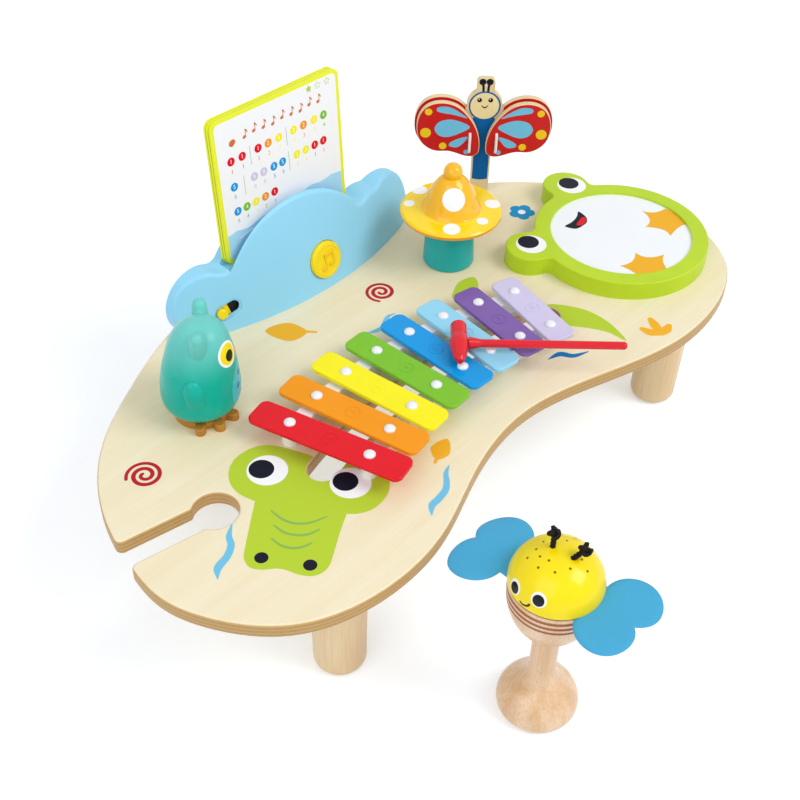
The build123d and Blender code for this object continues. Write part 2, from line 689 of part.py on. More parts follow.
def cloud_prism(inset, front_y, back_y, floor):
    """The cloud outline, drawn in X and Z, from front_y to back_y."""
    left, right = CLOUD_BUMPS[0][0], CLOUD_BUMPS[-1][0]
    height = CLOUD_BUMPS[-1][1]
    face = Pos((left + right) / 2, height / 2) * Rectangle(right - left, height)
    for x, z, radius in CLOUD_BUMPS:
        face += Pos(x, z) * Circle(radius - inset)
    keep = Pos((left + right) / 2, floor + 100.0) * Rectangle(2 * (right - left), 200.0)
    face = face & keep
    creases = [v for v in face.vertices() if v.Y > CLOUD_BUMPS[0][1] + 10.0]
    if not inset:
        face = fillet(creases, CLOUD_BLEND)
    return Pos(console_x(0.0), 0, TOP) * slab(face, front_y, back_y - front_y)


def console_front(inset):
    """Everything behind the leaning curved front face, as a cone about the arc's centre."""
    tall = 110.0
    shrink = tall * math.tan(math.radians(CONSOLE_LEAN))
    cx, cy = console_arc_centre()
    radius = CONSOLE_ARC_RADIUS - inset
    return Pos(cx, cy, TOP) * Cone(
        radius, radius - shrink, tall, align=(Align.CENTER, Align.CENTER, Align.MIN)
    )


def console_arc_centre():
    """The arc's centre keeps its distance to the console's back when the table changes."""
    x, y = spot(CONSOLE_ARC_CENTRE[0], CONSOLE_BACK_Y)
    return (x, y + CONSOLE_ARC_CENTRE[1] - CONSOLE_BACK_Y)


def console_x(x):
    """A drawn X of the console, moved with the console's middle."""
    return x + console_arc_centre()[0] - CONSOLE_ARC_CENTRE[0]


def console_y(y):
    """A drawn Y of the console, moved with the console's back."""
    return y + console_arc_centre()[1] - CONSOLE_ARC_CENTRE[1]


def face_plane(x, height):
    """The plane that touches the console's front face at a drawn X and a height on the table."""
    cx, cy = console_arc_centre()
    radius = CONSOLE_ARC_RADIUS - height * math.tan(math.radians(CONSOLE_LEAN))
    dx = console_x(x) - cx
    yaw = math.asin(dx / radius)
    lean = math.radians(CONSOLE_LEAN)
    origin = (cx + dx, cy - radius * math.cos(yaw), TOP + height)
    out = (math.cos(lean) * math.sin(yaw), -math.cos(lean) * math.cos(yaw), math.sin(lean))
    across = (math.cos(yaw), math.sin(yaw), 0)
    return Plane(origin=origin, x_dir=across, z_dir=out)


def on_plane(plane, shape):
    return plane.location * shape


def post(radius, low, high):
    """A cylinder along a local Z from low to high."""
    return Pos(0, 0, low) * Cylinder(radius, high - low, align=(Align.CENTER, Align.CENTER, Align.MIN))


def card_frame():
    """The leaning frame of the card stack: x from the card's left edge, y through, z up."""
    return Pos(console_x(CARD_LEFT_X), console_y(CARD_FRONT_Y), TOP + CARD_FOOT) * Rot(-CARD_LEAN, 0, 0)


def card(index):
    height = CARD_HEIGHT + index * CARD_STEP_UP
    face = Pos(CARD_WIDTH / 2, height / 2) * RectangleRounded(CARD_WIDTH, height, CARD_CORNER)
    y = index * (CARD_THICKNESS + CARD_GAP)
    shift = index * CARD_SHUFFLE
    return card_frame() * Pos(-shift, 0, 0.3) * slab(face, y, CARD_THICKNESS)


def stack_depth():
    return CARD_COUNT * CARD_THICKNESS + (CARD_COUNT - 1) * CARD_GAP


def pocket_block(wall, height):
    """The card pocket's space, or its walls' outside."""
    length = CARD_WIDTH + 2 * POCKET_END_ROOM + CARD_COUNT * CARD_SHUFFLE + 2 * wall
    depth = stack_depth() + POCKET_FRONT_ROOM + CARD_GAP + 2 * wall
    low = Align.MIN
    block = Box(length, depth, height, align=(low, low, low))
    x = -POCKET_END_ROOM - CARD_COUNT * CARD_SHUFFLE - wall
    return card_frame() * Pos(x, -POCKET_FRONT_ROOM - wall, -wall) * block


def switch_window(depth_from, depth_to, radius, length):
    face = SlotOverall(length + 2 * radius, 2 * radius)
    return Pos(SWITCH_TRAVEL / 2, 0, depth_from) * extrude(face, depth_to - depth_from)


def button_and_board():
    """The button, its spring and the circuit board, with the shell's cut and posts for them."""
    flange_top = -CONSOLE_WALL - BUTTON_FLANGE_GAP
    flange_low = flange_top - BUTTON_FLANGE
    stem_low = flange_low - BUTTON_STEM_LENGTH
    board_top = stem_low - BUTTON_TRAVEL - LOOSE_FIT
    button = post(BUTTON_RADIUS, flange_low, BUTTON_PROUD)
    button = fillet(button.edges().sort_by(Axis.Z)[-1], BUTTON_ROUND)
    button += post(BUTTON_RADIUS + BUTTON_FLANGE_LIP, flange_low, flange_top)
    button += post(BUTTON_STEM_RADIUS, stem_low, flange_low)
    coil = post(SPRING_RADIUS + SPRING_WIRE, board_top, flange_low)
    coil -= post(SPRING_RADIUS, board_top, flange_low)
    board = Pos(0, 0, board_top - PCB_SIZE[2] / 2) * Box(*PCB_SIZE)
    px, py = PCB_POSTS
    posts = [
        Pos(sx * px, sy * py, 0) * post(PCB_POST_RADIUS, board_top, -CONSOLE_WALL / 2)
        for sx in (-1, 1)
        for sy in (-1, 1)
    ]
    cut = post(BUTTON_RADIUS + BUTTON_CLEARANCE, -SHELL_CUT, SHELL_CUT)
    return cut, posts, {"console_button": button, "button_spring": coil, "console_pcb": board}


def slide_switch():
    """The switch's knob and body, with the shell's window and posts for them."""
    tilt = Rot(0, 0, SWITCH_TILT)
    tongue_top = -CONSOLE_WALL - SWITCH_TONGUE_GAP
    tongue = Pos(0, 0, tongue_top - SWITCH_TONGUE[2] / 2) * Box(*SWITCH_TONGUE)
    tongue_low = tongue_top - SWITCH_TONGUE[2]
    knob = post(SWITCH_KNOB_RADIUS, tongue_low, SWITCH_PROUD)
    knob = fillet(knob.edges().sort_by(Axis.Z)[-1], BUTTON_ROUND)
    middle = SWITCH_TRAVEL / 2
    body_top = tongue_low - SWITCH_BODY_GAP
    body = Pos(middle, 0, body_top - SWITCH_BODY[2] / 2) * Box(*SWITCH_BODY)
    posts = [
        tilt * Pos(middle + side * SWITCH_POST_REACH, 0, 0)
        * post(SWITCH_POST_RADIUS, body_top, -CONSOLE_WALL / 2)
        for side in (-1, 1)
    ]
    recess = SWITCH_KNOB_RADIUS + SWITCH_RECESS_MARGIN
    cut = switch_window(-SWITCH_RECESS_DEPTH, SHELL_CUT, recess, SWITCH_TRAVEL)
    cut += switch_window(-SHELL_CUT, SHELL_CUT, SWITCH_KNOB_RADIUS + LOOSE_FIT, SWITCH_TRAVEL)
    return tilt * cut, posts, {"switch_knob": tilt * (knob + tongue), "switch_body": tilt * body}


def battery_compartment(cover_y):
    """The box with its two cells and its cover, and the window that they need in the console's back."""
    length, depth, height = BATTERY_BOX_ROOM
    wall = BATTERY_BOX_WALL
    x = console_x(BATTERY_BOX_X)
    y = cover_y - (depth + wall) / 2
    z = TOP + CONSOLE_WALL + height / 2 + wall
    case = Pos(x, y, z) * Box(length + 2 * wall, depth + wall, height + 2 * wall)
    case -= Pos(x, y + wall / 2, z) * Box(length, depth, height)
    cell = Rot(0, 90, 0) * Cylinder(BATTERY_RADIUS, BATTERY_LENGTH)
    pitch = BATTERY_RADIUS + BATTERY_PLAY / 2
    cells = [Pos(x, y, z + side * pitch) * cell for side in (-1, 1)]
    open_length = length - 2 * BATTERY_WINDOW_EDGE
    open_height = height - 2 * BATTERY_WINDOW_EDGE
    place = Pos(x, cover_y + CONSOLE_WALL / 2, z)
    window = place * Box(open_length, CONSOLE_WALL, open_height)
    lid = place * Box(open_length - 2 * LOOSE_FIT, CONSOLE_WALL, open_height - 2 * LOOSE_FIT)
    return window, {"battery_box": case, "batteries": cells, "battery_cover": lid}


def speaker_and_grille(cover_y, back_y):
    """The loudspeaker behind the console's back, and the back's sound holes."""
    x = console_x(SPEAKER_X)
    z = TOP + SPEAKER_HEIGHT
    rim = post(SPEAKER_RADIUS, 0, SPEAKER_RIM)
    magnet = post(SPEAKER_MAGNET_RADIUS, SPEAKER_RIM, SPEAKER_RIM + SPEAKER_MAGNET)
    holes = []
    for ring_radius, count in SPEAKER_RINGS:
        for k in range(count):
            a = 2 * math.pi * k / count
            place = Pos(x + ring_radius * math.cos(a), back_y, z + ring_radius * math.sin(a))
            holes.append(place * Rot(90, 0, 0) * post(SPEAKER_HOLE_RADIUS, 0.0, CONSOLE_WALL))
    return holes, Pos(x, cover_y, z) * Rot(90, 0, 0) * (rim + magnet)


def cover_screw(play):
    """A screw of the console's back, or with play the hole for it."""
    head_radius, head_height = COVER_SCREW_HEAD
    shank = post(COVER_SCREW_RADIUS + play, 0.0, COVER_SCREW_LENGTH)
    return shank + post(head_radius + play, 0.0, head_height)


def console():
    back_y = console_y(CONSOLE_BACK_Y)
    cover_y = back_y - CONSOLE_WALL
    front_y = back_y - SHELL_DEPTH
    outer = cloud_prism(0.0, front_y, cover_y, 0.0) & console_front(0.0)
    front_face = outer.faces().filter_by(GeomType.CONE)[0]
    upper_edges = [edge for edge in front_face.edges() if edge.center().Z > TOP + CONSOLE_WALL]
    outer = fillet(upper_edges, CONSOLE_EDGE_ROUND)
    inner = cloud_prism(CONSOLE_WALL, front_y, cover_y, CONSOLE_WALL) & console_front(CONSOLE_WALL)
    shell = outer - inner
    shell += pocket_block(POCKET_WALL, POCKET_DEPTH) & outer
    shell -= pocket_block(0.0, POCKET_DEPTH)
    push = face_plane(BUTTON_X, BUTTON_HEIGHT)
    slide = face_plane(SWITCH_X, SWITCH_HEIGHT)
    cover = cloud_prism(0.0, cover_y, back_y, 0.0)
    button_cut, button_posts, button_parts = button_and_board()
    switch_cut, switch_posts, switch_parts = slide_switch()
    battery_window, battery_parts = battery_compartment(cover_y)
    grille, speaker = speaker_and_grille(cover_y, back_y)
    shell -= on_plane(push, button_cut)
    shell += [on_plane(push, column) for column in button_posts]
    shell -= on_plane(slide, switch_cut)
    shell += [on_plane(slide, column) for column in switch_posts]
    cover -= battery_window
    cover -= grille
    cover_screws = []
    for x, z in COVER_SCREWS:
        cut = Pos(console_x(x), back_y, TOP + z) * Rot(90, 0, 0)
        shell += (cut * post(PILLAR_RADIUS, CONSOLE_WALL, SHELL_DEPTH)) & outer
        shell -= cut * post(COVER_SCREW_RADIUS, CONSOLE_WALL, COVER_SCREW_LENGTH)
        cover -= cut * cover_screw(COVER_SCREW_PLAY)
        cover_screws.append(cut * cover_screw(0.0))
    for x, y in console_screw_places():
        shell -= rod(x, y, TOP, SCREW_RADIUS, CONSOLE_WALL)
    floor_screws = [wood_screw(x, y, PLY + CONSOLE_WALL) for x, y in console_screw_places()]
    parts = {"console_shell": shell, "console_back": cover}
    for plane, shapes in ((push, button_parts), (slide, switch_parts)):
        parts.update({name: on_plane(plane, shape) for name, shape in shapes.items()})
    parts["console_speaker"] = speaker
    parts.update(battery_parts)
    parts["console_screws"] = cover_screws + floor_screws
    for index, name in enumerate(("card_front", "card_middle", "card_back")):
        parts[name] = card(index)
    return parts


# ---- Owl ----

def owl():
    x, y = spot(*OWL_PLACE)
    disc = rod(0, 0, 0, OWL_FEET_RADIUS, OWL_FEET_HEIGHT)
    feet = disc
    for side in (-1, 0, 1):
        a = math.radians(OWL_FEET_FACING + side * OWL_TOE_SPREAD)
        tip = (OWL_TOE_REACH * math.cos(a), OWL_TOE_REACH * math.sin(a))
        feet += rod(*tip, 0, OWL_TOE_RADIUS, OWL_FEET_HEIGHT)
        middle = Pos(tip[0] / 2, tip[1] / 2, OWL_FEET_HEIGHT / 2) * Rot(0, 0, math.degrees(a))
        feet += middle * Box(OWL_TOE_REACH, 2 * OWL_TOE_RADIUS, OWL_FEET_HEIGHT)
    feet = fillet(feet.faces().sort_by(Axis.Z)[-1].edges(), 1.2)
    feet -= rod(0, 0, 0, SPINDLE_RADIUS, OWL_FEET_HEIGHT)
    feet = Pos(x, y, TOP) * feet
    base = TOP + OWL_FEET_HEIGHT + OWL_GAP
    body = loft([Pos(shift, 0, z) * Circle(r) for z, r, shift in OWL_SECTIONS])
    room = loft([Pos(shift, 0, z) * Circle(r - OWL_WALL) for z, r, shift in OWL_SECTIONS[1:-1]])
    body -= room - rod(0, 0, 0, OWL_HUB_RADIUS, 100.0)
    lean = math.atan2(OWL_EAR_TIP[0] - OWL_EAR_ROOT[0], OWL_EAR_TIP[1] - OWL_EAR_ROOT[1])
    ear_length = math.dist(OWL_EAR_TIP, OWL_EAR_ROOT)
    foot_first = (Align.CENTER, Align.CENTER, Align.MIN)
    ear = Cone(OWL_EAR_RADIUS, OWL_EAR_END_RADIUS, ear_length, align=foot_first)
    wing_x, wing_y, wing_z = OWL_WING_PLACE
    for side in (-1, 1):
        place = Pos(OWL_EAR_FORWARD, side * OWL_EAR_ROOT[0], OWL_EAR_ROOT[1])
        body += (place * Rot(-side * math.degrees(lean), 0, 0) * ear) - room
        wing = scale(Sphere(1.0), OWL_WING_RADII)
        body += (Pos(wing_x, side * wing_y, wing_z) * Rot(0, OWL_WING_LEAN, 0) * wing) - room
    body -= rod(0, 0, 0, SPINDLE_RADIUS + RUNNING_FIT, OWL_SPINDLE_IN_BODY + SPINDLE_END_ROOM)
    body = Pos(x, y, base) * Rot(0, 0, OWL_FACING) * body
    spindle = rod(x, y, TOP, SPINDLE_RADIUS, OWL_FEET_HEIGHT + OWL_GAP + OWL_SPINDLE_IN_BODY)
    bite = OWL_FEET_HEIGHT - 1.5
    screws = [wood_screw(sx, sy, PLY + bite) for sx, sy in owl_screw_places()]
    for sx, sy in owl_screw_places():
        feet -= rod(sx, sy, TOP, SCREW_RADIUS, bite)
    return {"owl_body": body, "owl_feet": feet, "owl_spindle": spindle, "owl_screws": screws}


# ---- Bee rattle ----

def egg(radius, height, z):
    """A round solid, stretched to its own height above and below its middle."""
    return Pos(0, 0, z) * scale(Sphere(1.0), (radius, radius, height))


def bee_dome_solid(inset):
    ball = egg(BEE_DOME_RADIUS - inset, BEE_DOME_TOP - BEE_DOME_BASE - inset, BEE_DOME_BASE)
    return ball & rod(0, 0, BEE_DOME_BASE, 2 * BEE_DOME_RADIUS, BEE_DOME_TOP)


def bee_wing_face(side):
    """Two lobes and a root, drawn with the face towards +X."""
    lobes = BEE_WING_LOBES[side]
    middle = (lobes[0][0] + lobes[1][0]) / 2
    reach = lobes[0][1]
    face = Pos(middle, side * reach / 2) * Rectangle(BEE_WING_ROOT, reach)
    for x, y, radius in lobes:
        face += Pos(x, side * y) * Circle(radius)
    return face


def bee():
    place = Pos(*BEE_PLACE, 0) * Rot(0, 0, BEE_FACING)
    neck_low = BEE_BASE_STEPS[-1][1]
    neck_share = math.sqrt(1 - (BEE_NECK_RADIUS / BEE_BOWL_RADIUS) ** 2)
    neck_high = BEE_BOWL_CENTRE - BEE_BOWL_DEPTH * neck_share + 1.0
    handle = turned(BEE_BASE_STEPS) + rod(0, 0, neck_low, BEE_NECK_RADIUS, neck_high - neck_low)
    bowl = egg(BEE_BOWL_RADIUS, BEE_BOWL_DEPTH, BEE_BOWL_CENTRE)
    handle += bowl & rod(0, 0, 0, 2 * BEE_BOWL_RADIUS, BEE_RIM)
    for z in BEE_GROOVES:
        share = math.sqrt(1 - ((z - BEE_BOWL_CENTRE) / BEE_BOWL_DEPTH) ** 2)
        handle -= Pos(0, 0, z) * Torus(BEE_BOWL_RADIUS * share, BEE_GROOVE_DEPTH)
    room_radius = BEE_BOWL_RADIUS - BEE_BOWL_WALL
    room_depth = BEE_BOWL_DEPTH - BEE_BOWL_WALL
    handle -= egg(room_radius, room_depth, BEE_BOWL_CENTRE)
    dome = bee_dome_solid(0.0) - bee_dome_solid(BEE_DOME_WALL)
    felt = bee_wing_face(-1) + bee_wing_face(1) + Circle(BEE_DOME_RADIUS - 3.0)
    felt -= Circle(room_radius)
    knots = []
    for side in (-1, 1):
        foot = Pos(-ANTENNA_BACK, side * ANTENNA_SPREAD, BEE_DOME_TOP - ANTENNA_SUNK)
        out, back = ANTENNA_LEANS[side]
        foot *= Rot(-side * out, -back, 0)
        knot = foot * (post(ANTENNA_RADIUS, 0.0, ANTENNA_LENGTH + ANTENNA_KNOT / 2)
                       + Pos(0, 0, ANTENNA_LENGTH) * Sphere(ANTENNA_KNOT))
        knots.append(place * (knot - bee_dome_solid(0.0)))
    beads = []
    for k in range(BEE_BEADS):
        a = 2 * math.pi * k / (BEE_BEADS - 1)
        reach = 0.0 if k == BEE_BEADS - 1 else BEE_BEAD_RING
        free_radius = room_radius - BEE_BEAD_RADIUS - 1.5
        fall = (room_depth - BEE_BEAD_RADIUS) * math.sqrt(1 - (reach / free_radius) ** 2)
        low = BEE_BOWL_CENTRE - fall + HAIR
        inside = Pos(reach * math.cos(a), reach * math.sin(a), low)
        beads.append(place * inside * Sphere(BEE_BEAD_RADIUS))
    return {
        "bee_handle": place * handle,
        "bee_dome": place * dome,
        "bee_wings": place * Pos(0, 0, BEE_RIM) * extrude(felt, BEE_DOME_BASE - BEE_RIM),
        "bee_antennae": knots,
        "bee_beads": beads,
    }


# ---- Whole ----

def assembly():
    parts = {}
    for group in (table, metallophone, mallet, drum, mushroom, butterfly, console, owl, bee):
        parts.update(group())
    return {name: Compound(list(part)) if isinstance(part, list) else part for name, part in parts.items()}


def centre_of_footprint(parts):
    """Middle of the whole object's box, seen from above."""
    boxes = [part.bounding_box() for part in parts.values()]
    x = (min(b.min.X for b in boxes) + max(b.max.X for b in boxes)) / 2
    y = (min(b.min.Y for b in boxes) + max(b.max.Y for b in boxes)) / 2
    return (x, y)


PARTS = assembly()
MIDDLE = centre_of_footprint(PARTS)
os.makedirs("parts", exist_ok=True)
for part_name, part_shape in PARTS.items():
    export_step(Pos(-MIDDLE[0], -MIDDLE[1], 0) * part_shape, f"parts/{part_name}.step")
print(len(PARTS), "nodes, footprint middle at", MIDDLE)
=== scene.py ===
"""Looks of the musical activity table: finishes, printed art, soft pieces, studio and camera.

Lengths in the classes are millimetres in the maker's drawing, whose origin lies near the
middle of the tabletop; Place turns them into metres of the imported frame.
"""

import logging
import math
from dataclasses import dataclass, replace
from enum import Enum
from functools import cached_property
from typing import Callable, Iterable, Optional, Sequence, Union

import bmesh
import bpy
from mathutils import Matrix, Vector
from mathutils.geometry import delaunay_2d_cdt


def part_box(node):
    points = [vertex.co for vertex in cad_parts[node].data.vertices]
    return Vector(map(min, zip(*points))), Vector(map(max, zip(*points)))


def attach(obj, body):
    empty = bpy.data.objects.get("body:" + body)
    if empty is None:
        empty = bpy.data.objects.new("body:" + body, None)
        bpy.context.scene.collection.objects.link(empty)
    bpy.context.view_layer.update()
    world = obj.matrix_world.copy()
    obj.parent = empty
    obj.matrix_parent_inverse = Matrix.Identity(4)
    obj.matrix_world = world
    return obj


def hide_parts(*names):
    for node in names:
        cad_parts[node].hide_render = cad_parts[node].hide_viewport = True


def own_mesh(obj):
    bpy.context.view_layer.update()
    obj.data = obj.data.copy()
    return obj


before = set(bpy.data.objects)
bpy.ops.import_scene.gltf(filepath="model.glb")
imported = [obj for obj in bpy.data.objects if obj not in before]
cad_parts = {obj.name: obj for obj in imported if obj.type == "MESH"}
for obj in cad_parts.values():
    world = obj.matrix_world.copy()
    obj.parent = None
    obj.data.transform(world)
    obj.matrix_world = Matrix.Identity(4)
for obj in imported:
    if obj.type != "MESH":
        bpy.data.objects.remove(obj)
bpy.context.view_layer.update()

log = logging.getLogger("activity_table")

MM = 0.001
TOP = 120.0
PRINT_FILM = 0.07
THINNEST = 0.05
PURE = (1.0, 1.0, 1.0, 1.0)
DRUM_MIDDLE = (220.8, -27.5)

Material = bpy.types.Material
Socket = bpy.types.NodeSocket
Point = tuple[float, float]
Outline = list[Point]
Colour = tuple[float, float, float, float]


def plan_shift() -> Vector:
    """The drawing's origin in the frame, read from the drum skin's middle.

    Returns:
        The shift in millimetres.
    """
    low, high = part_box("drum_skin")
    middle = (low + high) / 2 / MM
    return Vector((middle.x - DRUM_MIDDLE[0], middle.y - DRUM_MIDDLE[1], 0.0))


SHIFT = plan_shift()


def srgb(red: float, green: float, blue: float) -> Colour:
    """Turns a colour as the eye reads it, 0 to 1, into the linear one that shaders take.

    Args:
        red, green, blue: the display values.

    Returns:
        The linear colour with full alpha.
    """
    def linear(value: float) -> float:
        """One channel."""
        return value / 12.92 if value <= 0.04045 else ((value + 0.055) / 1.055) ** 2.4

    return linear(red), linear(green), linear(blue), 1.0


def shade(colour: Colour, factor: float) -> Colour:
    """The same colour, darker under 1 and lighter over it."""
    return (*(min(1.0, channel * factor) for channel in colour[:3]), 1.0)


# ---- Shader nodes ----

class Value:
    """A number socket of a net, with arithmetic that adds Math nodes."""

    def __init__(self, net: "Net", socket: Socket) -> None:
        """Wraps one output socket."""
        self.net = net
        self.socket = socket

    def math(self, operation: str, *operands: "Number") -> "Value":
        """Adds one Math node.

        Args:
            operation: Blender's name of the operation.
            operands: numbers or Values, in the node's order.

        Returns:
            The node's result.
        """
        made = self.net.node("ShaderNodeMath", {"operation": operation}, dict(enumerate(operands)))
        return Value(self.net, made.outputs[0])

    def __add__(self, other: "Number") -> "Value":
        """Sum."""
        return self.math("ADD", self, other)

    __radd__ = __add__

    def __sub__(self, other: "Number") -> "Value":
        """Difference."""
        return self.math("SUBTRACT", self, other)

    def __rsub__(self, other: "Number") -> "Value":
        """Difference from a number."""
        return self.math("SUBTRACT", other, self)

    def __mul__(self, other: "Number") -> "Value":
        """Product."""
        return self.math("MULTIPLY", self, other)

    __rmul__ = __mul__

    def __truediv__(self, other: "Number") -> "Value":
        """Quotient."""
        return self.math("DIVIDE", self, other)

    def __rtruediv__(self, other: "Number") -> "Value":
        """Quotient of a number by this."""
        return self.math("DIVIDE", other, self)

    def __abs__(self) -> "Value":
        """Size without sign."""
        return self.math("ABSOLUTE", self)

    def least(self, other: "Number") -> "Value":
        """The smaller of two."""
        return self.math("MINIMUM", self, other)

    def most(self, other: "Number") -> "Value":
        """The larger of two."""
        return self.math("MAXIMUM", self, other)

    def wave(self, pitch: float) -> "Value":
        """A sine from 0 to 1 that repeats at every pitch."""
        return self.math("SINE", self * (2 * math.pi / pitch)) * 0.5 + 0.5

    def step(self, low: float, high: float) -> "Value":
        """A smooth step from 0 at low to 1 at high; low may be the larger."""
        made = self.net.node("ShaderNodeMapRange", {"interpolation_type": "SMOOTHSTEP"},
                             {0: self, 1: low, 2: high, 3: 0.0, 4: 1.0})
        return Value(self.net, made.outputs[0])


Number = Union[float, int, Value]
Paint = Union[Colour, Socket]


class Net:
    """The node tree of one material, measured in millimetres of the resting frame."""

    def __init__(self, name: str, kind: str = "materials") -> None:
        """Starts an empty tree.

        Args:
            name: its owner's name.
            kind: "materials" or "worlds".
        """
        self.owner = getattr(bpy.data, kind).new(name)
        self.owner.use_nodes = True
        self.tree = self.owner.node_tree
        self.tree.nodes.clear()

    @cached_property
    def facing(self) -> Socket:
        """The surface's own direction."""
        return self.node("ShaderNodeTexCoord").outputs["Normal"]

    @cached_property
    def place(self) -> Socket:
        """The point's place in millimetres."""
        metres = self.node("ShaderNodeTexCoord").outputs["Object"]
        return self.vector("MULTIPLY", metres, (1 / MM,) * 3).outputs[0]

    def node(self, kind: str, settings: Optional[dict] = None,
             inputs: Optional[dict] = None) -> bpy.types.Node:
        """Adds a node.

        Args:
            kind: Blender's type name.
            settings: its own settings, set first; "stops" fills a colour ramp.
            inputs: a value, Value or socket for each input, by name or index.

        Returns:
            The node.
        """
        made = self.tree.nodes.new(kind)
        for name, setting in (settings or {}).items():
            if name == "stops":
                ramp = made.color_ramp.elements
                while len(ramp) < len(setting):
                    ramp.new(0.5)
                for element, (position, colour) in zip(ramp, setting):
                    element.position = position
                    element.color = colour
            else:
                setattr(made, name, setting)
        for key, value in (inputs or {}).items():
            source = value.socket if isinstance(value, Value) else value
            if isinstance(source, Socket):
                self.tree.links.new(source, made.inputs[key])
            else:
                made.inputs[key].default_value = source
        return made

    def vector(self, operation: str, first: object, second: object) -> bpy.types.Node:
        """One Vector Math node."""
        return self.node("ShaderNodeVectorMath", {"operation": operation}, {0: first, 1: second})

    def axis(self, index: int, vector: Optional[Socket] = None) -> Value:
        """One part of a vector, of the place if none is given."""
        made = self.node("ShaderNodeSeparateXYZ", None, {0: vector or self.place})
        return Value(self, made.outputs[index])

    def dot(self, direction: Sequence[float],
            vector: Optional[Socket] = None) -> Value:
        """How far a vector, or the place, reaches along a direction."""
        made = self.vector("DOT_PRODUCT", vector or self.place, tuple(direction))
        return Value(self, made.outputs["Value"])

    def distance(self, point: Union[Sequence[float], Socket]) -> Value:
        """The place's distance from a point."""
        other = point if isinstance(point, Socket) else tuple(point)
        return Value(self, self.vector("DISTANCE", self.place, other).outputs["Value"])

    def ball(self, point: Sequence[float], radius: float, soft: float = 0.12) -> Value:
        """1 inside a ball, 0 outside it."""
        return self.distance(point).step(radius + soft, radius - soft)

    def rod(self, start: Vector, end: Vector, radius: float, soft: float = 0.12) -> Value:
        """A straight rod with round ends.

        Args:
            start, end: the ends of its middle line.
            radius: its radius.
            soft: half the width of its blurred edge.

        Returns:
            1 inside it, 0 outside.
        """
        run = end - start
        share = self.dot(run / run.length_squared) - start.dot(run) / run.length_squared
        share = share.most(0.0).least(1.0)
        along = self.node("ShaderNodeVectorMath", {"operation": "SCALE"},
                          {0: tuple(run), "Scale": share}).outputs[0]
        nearest = self.vector("ADD", along, tuple(start)).outputs[0]
        return self.distance(nearest).step(radius + soft, radius - soft)

    def noise(self, sizes: Union[float, Sequence[float]], detail: float = 2.0,
              seed: float = 0.0, turn: float = 0.0) -> Value:
        """Soft noise.

        Args:
            sizes: the feature size along each axis.
            detail: octaves added below it.
            seed: shifts the pattern.
            turn: degrees about Z that the axes are turned by.

        Returns:
            The noise, near 0.5 on average.
        """
        size = (sizes,) * 3 if isinstance(sizes, (int, float)) else tuple(sizes)
        source = self.place
        if turn:
            source = self.node("ShaderNodeVectorRotate", {"rotation_type": "Z_AXIS"},
                               {"Vector": source, "Angle": math.radians(turn)}).outputs[0]
        source = self.vector("MULTIPLY", source, tuple(1 / s for s in size)).outputs[0]
        if seed:
            source = self.vector("ADD", source, (seed, seed * 1.7, seed * 2.3)).outputs[0]
        made = self.node("ShaderNodeTexNoise", {"noise_dimensions": "3D"},
                         {"Vector": source, "Scale": 1.0, "Detail": detail, "Roughness": 0.55})
        return Value(self, made.outputs[0])

    def mix(self, factor: Number, under: Paint, over: Paint,
            blend: str = "MIX") -> Socket:
        """Lays one colour over another."""
        made = self.node("ShaderNodeMix", {"data_type": "RGBA", "blend_type": blend},
                         {0: factor, 6: under, 7: over})
        return made.outputs[2]

    def bump(self, height: Value, depth: float) -> Socket:
        """A normal from a height of 0 to 1 that stands for a depth in millimetres."""
        made = self.node("ShaderNodeBump", None,
                         {"Strength": 1.0, "Distance": depth * MM, "Height": height})
        return made.outputs[0]

    def finish(self, colour: Paint, roughness: Number,
               normal: Optional[Socket] = None,
               **constants: object) -> Material:
        """Closes the tree with the surface shader.

        Args:
            colour: base colour.
            roughness: number or Value.
            normal: a Bump node's result.
            constants: other sockets of the shader, by name with _ for blanks.

        Returns:
            The material.
        """
        inputs = {"Base Color": colour, "Roughness": roughness}
        if normal is not None:
            inputs["Normal"] = normal
        inputs.update({name.replace("_", " "): value for name, value in constants.items()})
        shader = self.node("ShaderNodeBsdfPrincipled", None, inputs)
        self.node("ShaderNodeOutputMaterial", None, {"Surface": shader.outputs[0]})
        return self.owner


# ---- Finishes ----

class Grain(Enum):
    """The way that wood fibres run, as feature sizes for noise."""

    LENGTHWISE = (60.0, 1.3, 1.3)
    UPRIGHT = (1.5, 1.5, 46.0)


def wood_tone(net: Net, pale: Colour, dark: Colour, grain: Grain, seed: float = 0.0,
              figure: float = 0.5) -> tuple[Socket, Value]:
    """Colour and height of clear pale wood.

    Args:
        net: the material.
        pale, dark: early and late wood.
        grain: the fibres' way.
        seed: shifts the figure.
        figure: how strongly the broad bands show.

    Returns:
        The colour and the height of its pores.
    """
    long_way = grain.value
    broad = tuple(s * (2.6 if s > 10 else 9.0) for s in long_way)
    fine = tuple(s * (0.3 if s > 10 else 0.28) for s in long_way)
    bands = net.noise(broad, 3.0, seed + 3.1)
    streaks = net.noise(long_way, 4.0, seed + 7.7)
    pores = net.noise(fine, 2.0, seed + 1.3)
    colour = net.mix(bands.step(0.3, 0.75) * figure, pale, dark)
    colour = net.mix(streaks.step(0.42, 0.72) * 0.45, colour, dark)
    colour = net.mix(pores.step(0.62, 0.8) * 0.35, colour, shade(dark, 0.8))
    return colour, streaks * 0.6 + pores * 0.4


